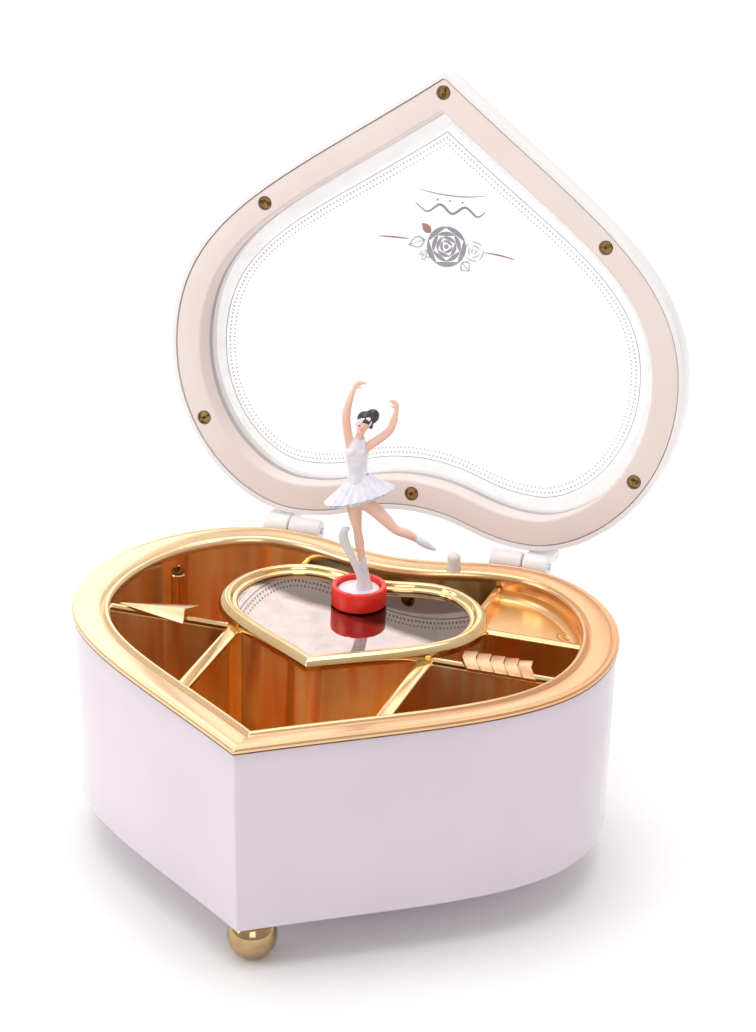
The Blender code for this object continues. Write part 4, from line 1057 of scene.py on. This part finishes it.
def makeFigure():
    def part(name, shapes, finish, slot, nodes=(), voxel=0.16, smooth=3):
        return piece(name, together(*shapes), finish, "dancer", slot, nodes, dancerPlace, 60, voxel,
            smooth)

    foot = dancer["base"] + dancer["ringHeight"] - 0.6
    standing = limb([(0.8, 0, 12.6, 1.05, 1.05), (0.3, 0, 16.0, 1.25, 1.3),
        (-0.2, 0.1, 19.5, 1.4, 1.5), (-0.7, 0, 22.8, 1.3, 1.35), (-1.3, 0, 26.4, 1.9, 1.9),
        (-1.8, 0, 31.0, 2.3, 2.2)])
    raised = limb([(0.6, 0, 32.0, 2.3, 2.2), (3.6, -0.4, 30.2, 2.15, 2.1),
        (7.3, -0.9, 26.9, 1.9, 1.9), (10.7, -1.2, 23.5, 1.4, 1.45), (13.9, -1.1, 22.3, 1.45, 1.45),
        (17.0, -0.6, 20.2, 0.95, 1.0)])
    part("dancerLegs", [standing, raised], "figureSkin", "figure_white", ["dancer_legs"], 0.15)
    standingShoe = limb([(1.6, 0, foot - 0.2, 2.6, 2.3), (1.7, 0, foot + 1.2, 1.9, 1.7),
        (1.6, 0, 8.5, 1.35, 1.3), (1.3, 0, 11.0, 1.15, 1.2), (0.85, 0, 13.8, 1.15, 1.15)])
    raisedShoe = limb([(16.5, -0.7, 20.6, 1.0, 1.05), (18.5, -0.4, 19.3, 1.3, 1.1),
        (20.5, -0.1, 17.9, 1.1, 0.85), (22.5, 0, 16.7, 0.5, 0.42)])
    part("dancerShoes", [standingShoe, raisedShoe], "figureWhite", "figure_white")
    swan = [limb([(0.9, -1.2, foot, 1.6, 1.3), (0.2, -1.5, 8.5, 1.15, 0.95),
        (-1.6, -1.8, 13, 1.1, 0.9), (-3.4, -1.8, 17.2, 1.25, 0.95), (-4.8, -1.8, 20.6, 1.5, 1.0),
        (-4.7, -1.8, 23.0, 1.3, 0.9), (-3.5, -1.8, 24.0, 0.7, 0.6)], steps=40)]
    part("swanSupport", swan, "figureWhite", "figure_white", ["swan_support"])
    torso = [limb([(-1.0, 0, 38.6, 3.1, 2.3), (-0.9, 0, 41.4, 2.9, 1.85), (-1.1, 0, 44.6, 3.1, 2.0),
        (-1.3, 0, 48.4, 3.35, 2.2), (-1.1, 0, 51.0, 2.6, 1.75)], 28)]
    torso += [blob((-1.25 + s * 1.4, -1.45, 48.3), (1.3, 0.9, 1.3)) for s in (-1, 1)]
    for s in (-1, 1):
        torso.append(limb([(-1.1 + s * 2.0, -1.3, 50.2, 0.3, 0.3),
            (-1.0 + s * 1.9, -0.8, 51.8, 0.3, 0.3), (-0.9 + s * 1.7, 0.4, 52.4, 0.3, 0.3)], 10, 10))
    part("dancerBodice", torso, "dressLilac", "figure_white", ["dancer_bodice"], 0.16, 2)

    lean = radians(24)
    head = [blob((0.85, -0.2, 57.6), (2.15, 2.45, 2.9), lean),
        blob((0.25, -0.85, 55.9), (1.5, 1.5, 1.9), lean),
        blob((0.35, -2.55, 57.0), (0.28, 0.42, 0.62), lean),
        blob((-0.25, -1.85, 54.9), (0.7, 0.7, 0.6), lean)]
    neck = limb([(-0.9, 0.2, 50.2, 2.0, 1.6), (-0.7, 0.1, 52.2, 1.15, 1.15),
        (0.2, 0, 55.0, 1.2, 1.25)])
    shoulders = limb([(-3.4, 0.1, 50.0, 1.2, 1.2), (-1.1, 0, 50.4, 1.7, 1.6),
        (1.6, 0.1, 49.6, 1.2, 1.2)], side=(0, 0, 1))
    leftArm = [(-3.2, 0, 49.6, 1.4, 1.35), (-3.9, -0.3, 53.6, 1.3, 1.3),
        (-4.5, -0.7, 58.4, 1.3, 1.25), (-4.2, -0.9, 61.8, 1.2, 1.15),
        (-3.2, -1.0, 65.6, 0.95, 0.95), (-2.3, -1.0, 68.2, 0.65, 0.7),
        (-1.5, -1.0, 69.5, 0.85, 0.5), (-0.2, -1.0, 70.2, 0.7, 0.4), (1.3, -1.0, 69.9, 0.32, 0.24)]
    rightArm = [(0.9, 0, 48.8, 1.5, 1.4), (3.2, 0.3, 50.4, 1.35, 1.3),
        (6.0, 0.6, 52.4, 1.25, 1.25), (8.4, 0.8, 54.7, 1.2, 1.2), (9.6, 0.8, 57.9, 1.05, 1.0),
        (10.2, 0.8, 61.0, 0.68, 0.7), (10.1, 0.7, 62.6, 0.85, 0.5), (9.3, 0.6, 63.7, 0.7, 0.4),
        (8.2, 0.5, 64.1, 0.3, 0.24)]
    thumbs = ([(-1.9, -1.1, 68.9, 0.32, 0.3), (-0.9, -1.5, 68.8, 0.3, 0.26),
        (0.0, -1.6, 69.0, 0.17, 0.17)], [(10.0, 0.6, 62.0, 0.32, 0.3),
        (9.2, 0.2, 62.2, 0.3, 0.26), (8.5, 0.1, 62.6, 0.17, 0.17)])
    arms = [limb(points, 16, 48) for points in (leftArm, rightArm)]
    arms += [limb(points, 10, 10) for points in thumbs]
    part("dancerSkin", head + [neck, shoulders] + arms, "figureSkin", "figure_skin",
        ["dancer_head_and_arms"], 0.14, 3)
    hair = [blob((1.6, 0.2, 58.7), (2.45, 2.6, 2.35), lean),
        blob((3.5, 0.6, 59.3), (2.1, 2.0, 2.5), radians(40)),
        blob((3.1, 0.4, 57.4), (0.9, 1.9, 1.9), radians(-10)),
        blob((3.9, 0.6, 60.0), (1.3, 1.3, 1.3))]
    part("dancerHair", moved(hair, (-0.5, -0.25, -0.3)), "figureHair", "figure_hair",
        ["dancer_hair_bun"], 0.15, 2)
    feathers = []
    for k in range(6):
        share = k / 5
        rise = 58.55 + 1.0 * share - 1.1 * (share - 0.5) ** 2
        feathers.append(blob((-1.0 + 3.3 * share, -2.25 + 0.25 * share, rise), (0.62, 0.42, 0.95),
            lean + radians(-28 + 50 * share), 14))
    feathers.append(blob((2.75, -1.3, 57.9), (0.6, 0.8, 1.3), lean, 14))
    part("dancerHeadband", moved(feathers, (-0.35, 0.0, -0.35)), "figureWhite", "figure_white", (),
        0.12, 1)
    marks = [blob((-0.55, -2.42, 57.15), (0.3, 0.1, 0.12), lean, 12),
        blob((1.0, -2.5, 57.75), (0.3, 0.1, 0.12), lean, 12)]
    part("dancerEyes", marks, "figureHair", "figure_hair", (), 0.0)
    part("dancerLips", [blob((-0.1, -2.28, 55.75), (0.36, 0.14, 0.15), lean, 12)], "lipRose",
        "figure_skin", (), 0.0)


def skirtGroup():
    # a pleated skirt: a ring drawn out from the waist and rippled towards its hem
    tree, given = nodeGroup("pleatedSkirt", {"Waist": "Float", "Hem": "Float", "Flat": "Float",
        "Drop": "Float", "Pleats": "Float", "Ripple": "Float", "Tilt": "Float", "Top": "Float",
        "Material": "Material"})
    rings, around = 16, 240
    grid = tree.add("GeometryNodeMeshGrid", None, {"Size X": 1.0, "Size Y": 1.0,
        "Vertices X": rings, "Vertices Y": around + 1})
    here = tree.add("GeometryNodeInputPosition")
    split = tree.add("ShaderNodeSeparateXYZ", None, {0: here})
    share = Signal(tree, split.socket.node.outputs[0]) + 0.5
    turn = (Signal(tree, split.socket.node.outputs[1]) + 0.5) * tau

    def wave(operation, angle):
        return tree.add("ShaderNodeMath", {"operation": operation}, {0: angle})
    radius = given["Waist"] + (given["Hem"] - given["Waist"]) * share
    ripple = given["Ripple"] * share * (wave("SINE", turn * given["Pleats"]) + 0.6
        * wave("SINE", turn * 5.0 + 0.8))
    wide = radius + ripple
    x = wide * wave("COSINE", turn)
    y = wide * wave("SINE", turn) * given["Flat"]
    z = given["Top"] - given["Drop"] * share ** 0.9 + 0.6 * ripple + given["Tilt"] * x
    placed = tree.add("GeometryNodeSetPosition", None, {"Geometry": grid,
        "Position": tree.add("ShaderNodeCombineXYZ", None, {"X": x, "Y": y, "Z": z})})
    merged = tree.add("GeometryNodeMergeByDistance", None, {"Geometry": placed, "Distance": 0.001})
    return closeGroup(tree, merged, given["Material"])


skirt = {"layers": ((10.2, 6.3, 40.1, 0.3, 22.0), (9.2, 6.9, 39.6, 0.26, 26.0)), "waist": 2.9,
    "flat": 0.5, "tilt": 0.275, "thick": 0.26, "shift": (-0.4, 0.0, 0.0)}


def makeSkirt():
    group = skirtGroup()
    layers = []
    for hem, drop, top, ripple, pleats in skirt["layers"]:
        values = {"Waist": skirt["waist"], "Hem": hem, "Flat": skirt["flat"], "Drop": drop,
            "Pleats": pleats, "Ripple": ripple, "Tilt": skirt["tilt"], "Top": top}
        obj = growing("layer", bpy.data.meshes.new("layer"), group, values, "dressLilac")
        thick = obj.modifiers.new("thick", "SOLIDIFY")
        thick.thickness, thick.offset = skirt["thick"], 0.0
        settled(obj)
        shape = bmesh.new()
        shape.from_mesh(obj.data)
        bpy.data.objects.remove(obj, do_unlink=True)
        layers.append(shape)
    piece("dancerSkirt", together(*moved(layers, skirt["shift"])), "dressLilac", "dancer",
        "figure_white", ["dancer_skirt"], dancerPlace, 50)


makeBase()
makeFigure()
makeSkirt()
print("dancer made")

# CAD nodes that keep their own shape.
worn = {"brushedSteel": ["hinge_pin_left", "hinge_pin_right", "movement_bedplate",
    "movement_screw_1", "movement_screw_2", "cylinder_bearing_left", "cylinder_bearing_right",
    "comb", "comb_screw", "governor_bracket", "stage_bearing_plate", "stop_arm", "plunger_spring",
    "mainspring", "winding_arbor", "winding_key", "governor_worm", "stage_shaft", "drive_magnet"],
    "workedBrass": ["sun_gear", "spring_barrel", "great_wheel", "pin_cylinder", "cylinder_pinion",
    "planet_pinion"],
    "blackSatin": ["governor_fan", "magnet_carrier"]}
for finish, names in worn.items():
    for name in names:
        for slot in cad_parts[name].material_slots:
            slot.material = finishes[finish].material
print("movement finished")

# Studio.
studio = {"floorSize": 9.0, "focal": 171.45, "camera": (0.319419, -0.905521, 0.463457),
    "yaw": 18.8527, "pitch": 24.1445, "roll": 0.97653, "world": 0.70,
    "lampAim": (0, 0, 0.08)}


def makeStudio():
    scene = bpy.context.scene
    scene.view_settings.view_transform = "Standard"
    floor = Finish("paleFloor", (0.93, 0.93, 0.93), 0.7)
    floor.put("Base Color", floor.blend(floor.noise(220.0, 2.0), (0.965, 0.965, 0.97),
        (0.975, 0.975, 0.975)))
    half = studio["floorSize"] / 2
    mesh = bpy.data.meshes.new("floor")
    mesh.from_pydata([(-half, -half, 0), (half, -half, 0), (half, half, 0), (-half, half, 0)], [],
        [(0, 1, 2, 3)])
    mesh.materials.append(floor.material)
    ground = bpy.data.objects.new("studioFloor", mesh)
    scene.collection.objects.link(ground)

    world = bpy.data.worlds.new("softRoom")
    world.use_nodes = True
    scene.world = world
    tree = Tree(world.node_tree)
    along = tree.add("ShaderNodeTexCoord", output="Generated")
    split = tree.add("ShaderNodeSeparateXYZ", None, {0: along})
    across, deep, up = (Signal(tree, s) for s in split.socket.node.outputs)
    bright = tree.add("ShaderNodeMapRange", None, {"Value": deep * 0.8 + up * 0.5 - across * 0.35,
        "From Min": -0.9, "From Max": 0.9, "To Min": 0.56, "To Max": 1.15})
    back = world.node_tree.nodes["Background"]
    back.inputs["Color"].default_value = (1.0, 0.985, 0.975, 1.0)
    world.node_tree.links.new((bright * studio["world"]).socket, back.inputs["Strength"])

    lamps = {"backCard": ((-0.6, 1.7, 1.15), 1.5, 7.5), "topCard": ((-0.1, 0.0, 1.7), 1.5, 13.5),
        "leftCard": ((-1.4, -0.9, 0.9), 0.9, 7.0), "frontCard": ((0.7, -1.7, 0.9), 0.9, 5.0)}
    for name, (place, size, power) in lamps.items():
        data = bpy.data.lights.new(name, "AREA")
        data.shape, data.size, data.energy = "SQUARE", size, power
        lamp = bpy.data.objects.new(name, data)
        lamp.location = place
        beam = Vector(studio["lampAim"]) - Vector(place)
        lamp.rotation_euler = beam.to_track_quat("-Z", "Y").to_euler()
        lamp.visible_camera = False
        scene.collection.objects.link(lamp)

    yaw, pitch, roll = (radians(studio[k]) for k in ("yaw", "pitch", "roll"))
    right = Vector((cos(yaw), sin(yaw), 0))
    up = Vector((-sin(yaw) * sin(pitch), cos(yaw) * sin(pitch), cos(pitch)))
    right, up = cos(roll) * right + sin(roll) * up, cos(roll) * up - sin(roll) * right
    away = right.cross(up)
    data = bpy.data.cameras.new("camera")
    data.sensor_fit, data.sensor_width, data.lens = "HORIZONTAL", 36.0, studio["focal"]
    data.clip_start, data.clip_end = 0.05, 50.0
    camera = bpy.data.objects.new("camera", data)
    turn = Matrix((right, up, away)).transposed().to_4x4()
    camera.matrix_world = Matrix.Translation(Vector(studio["camera"]) + boxOrigin) @ turn
    scene.collection.objects.link(camera)
    scene.camera = camera


makeStudio()
print("studio made")
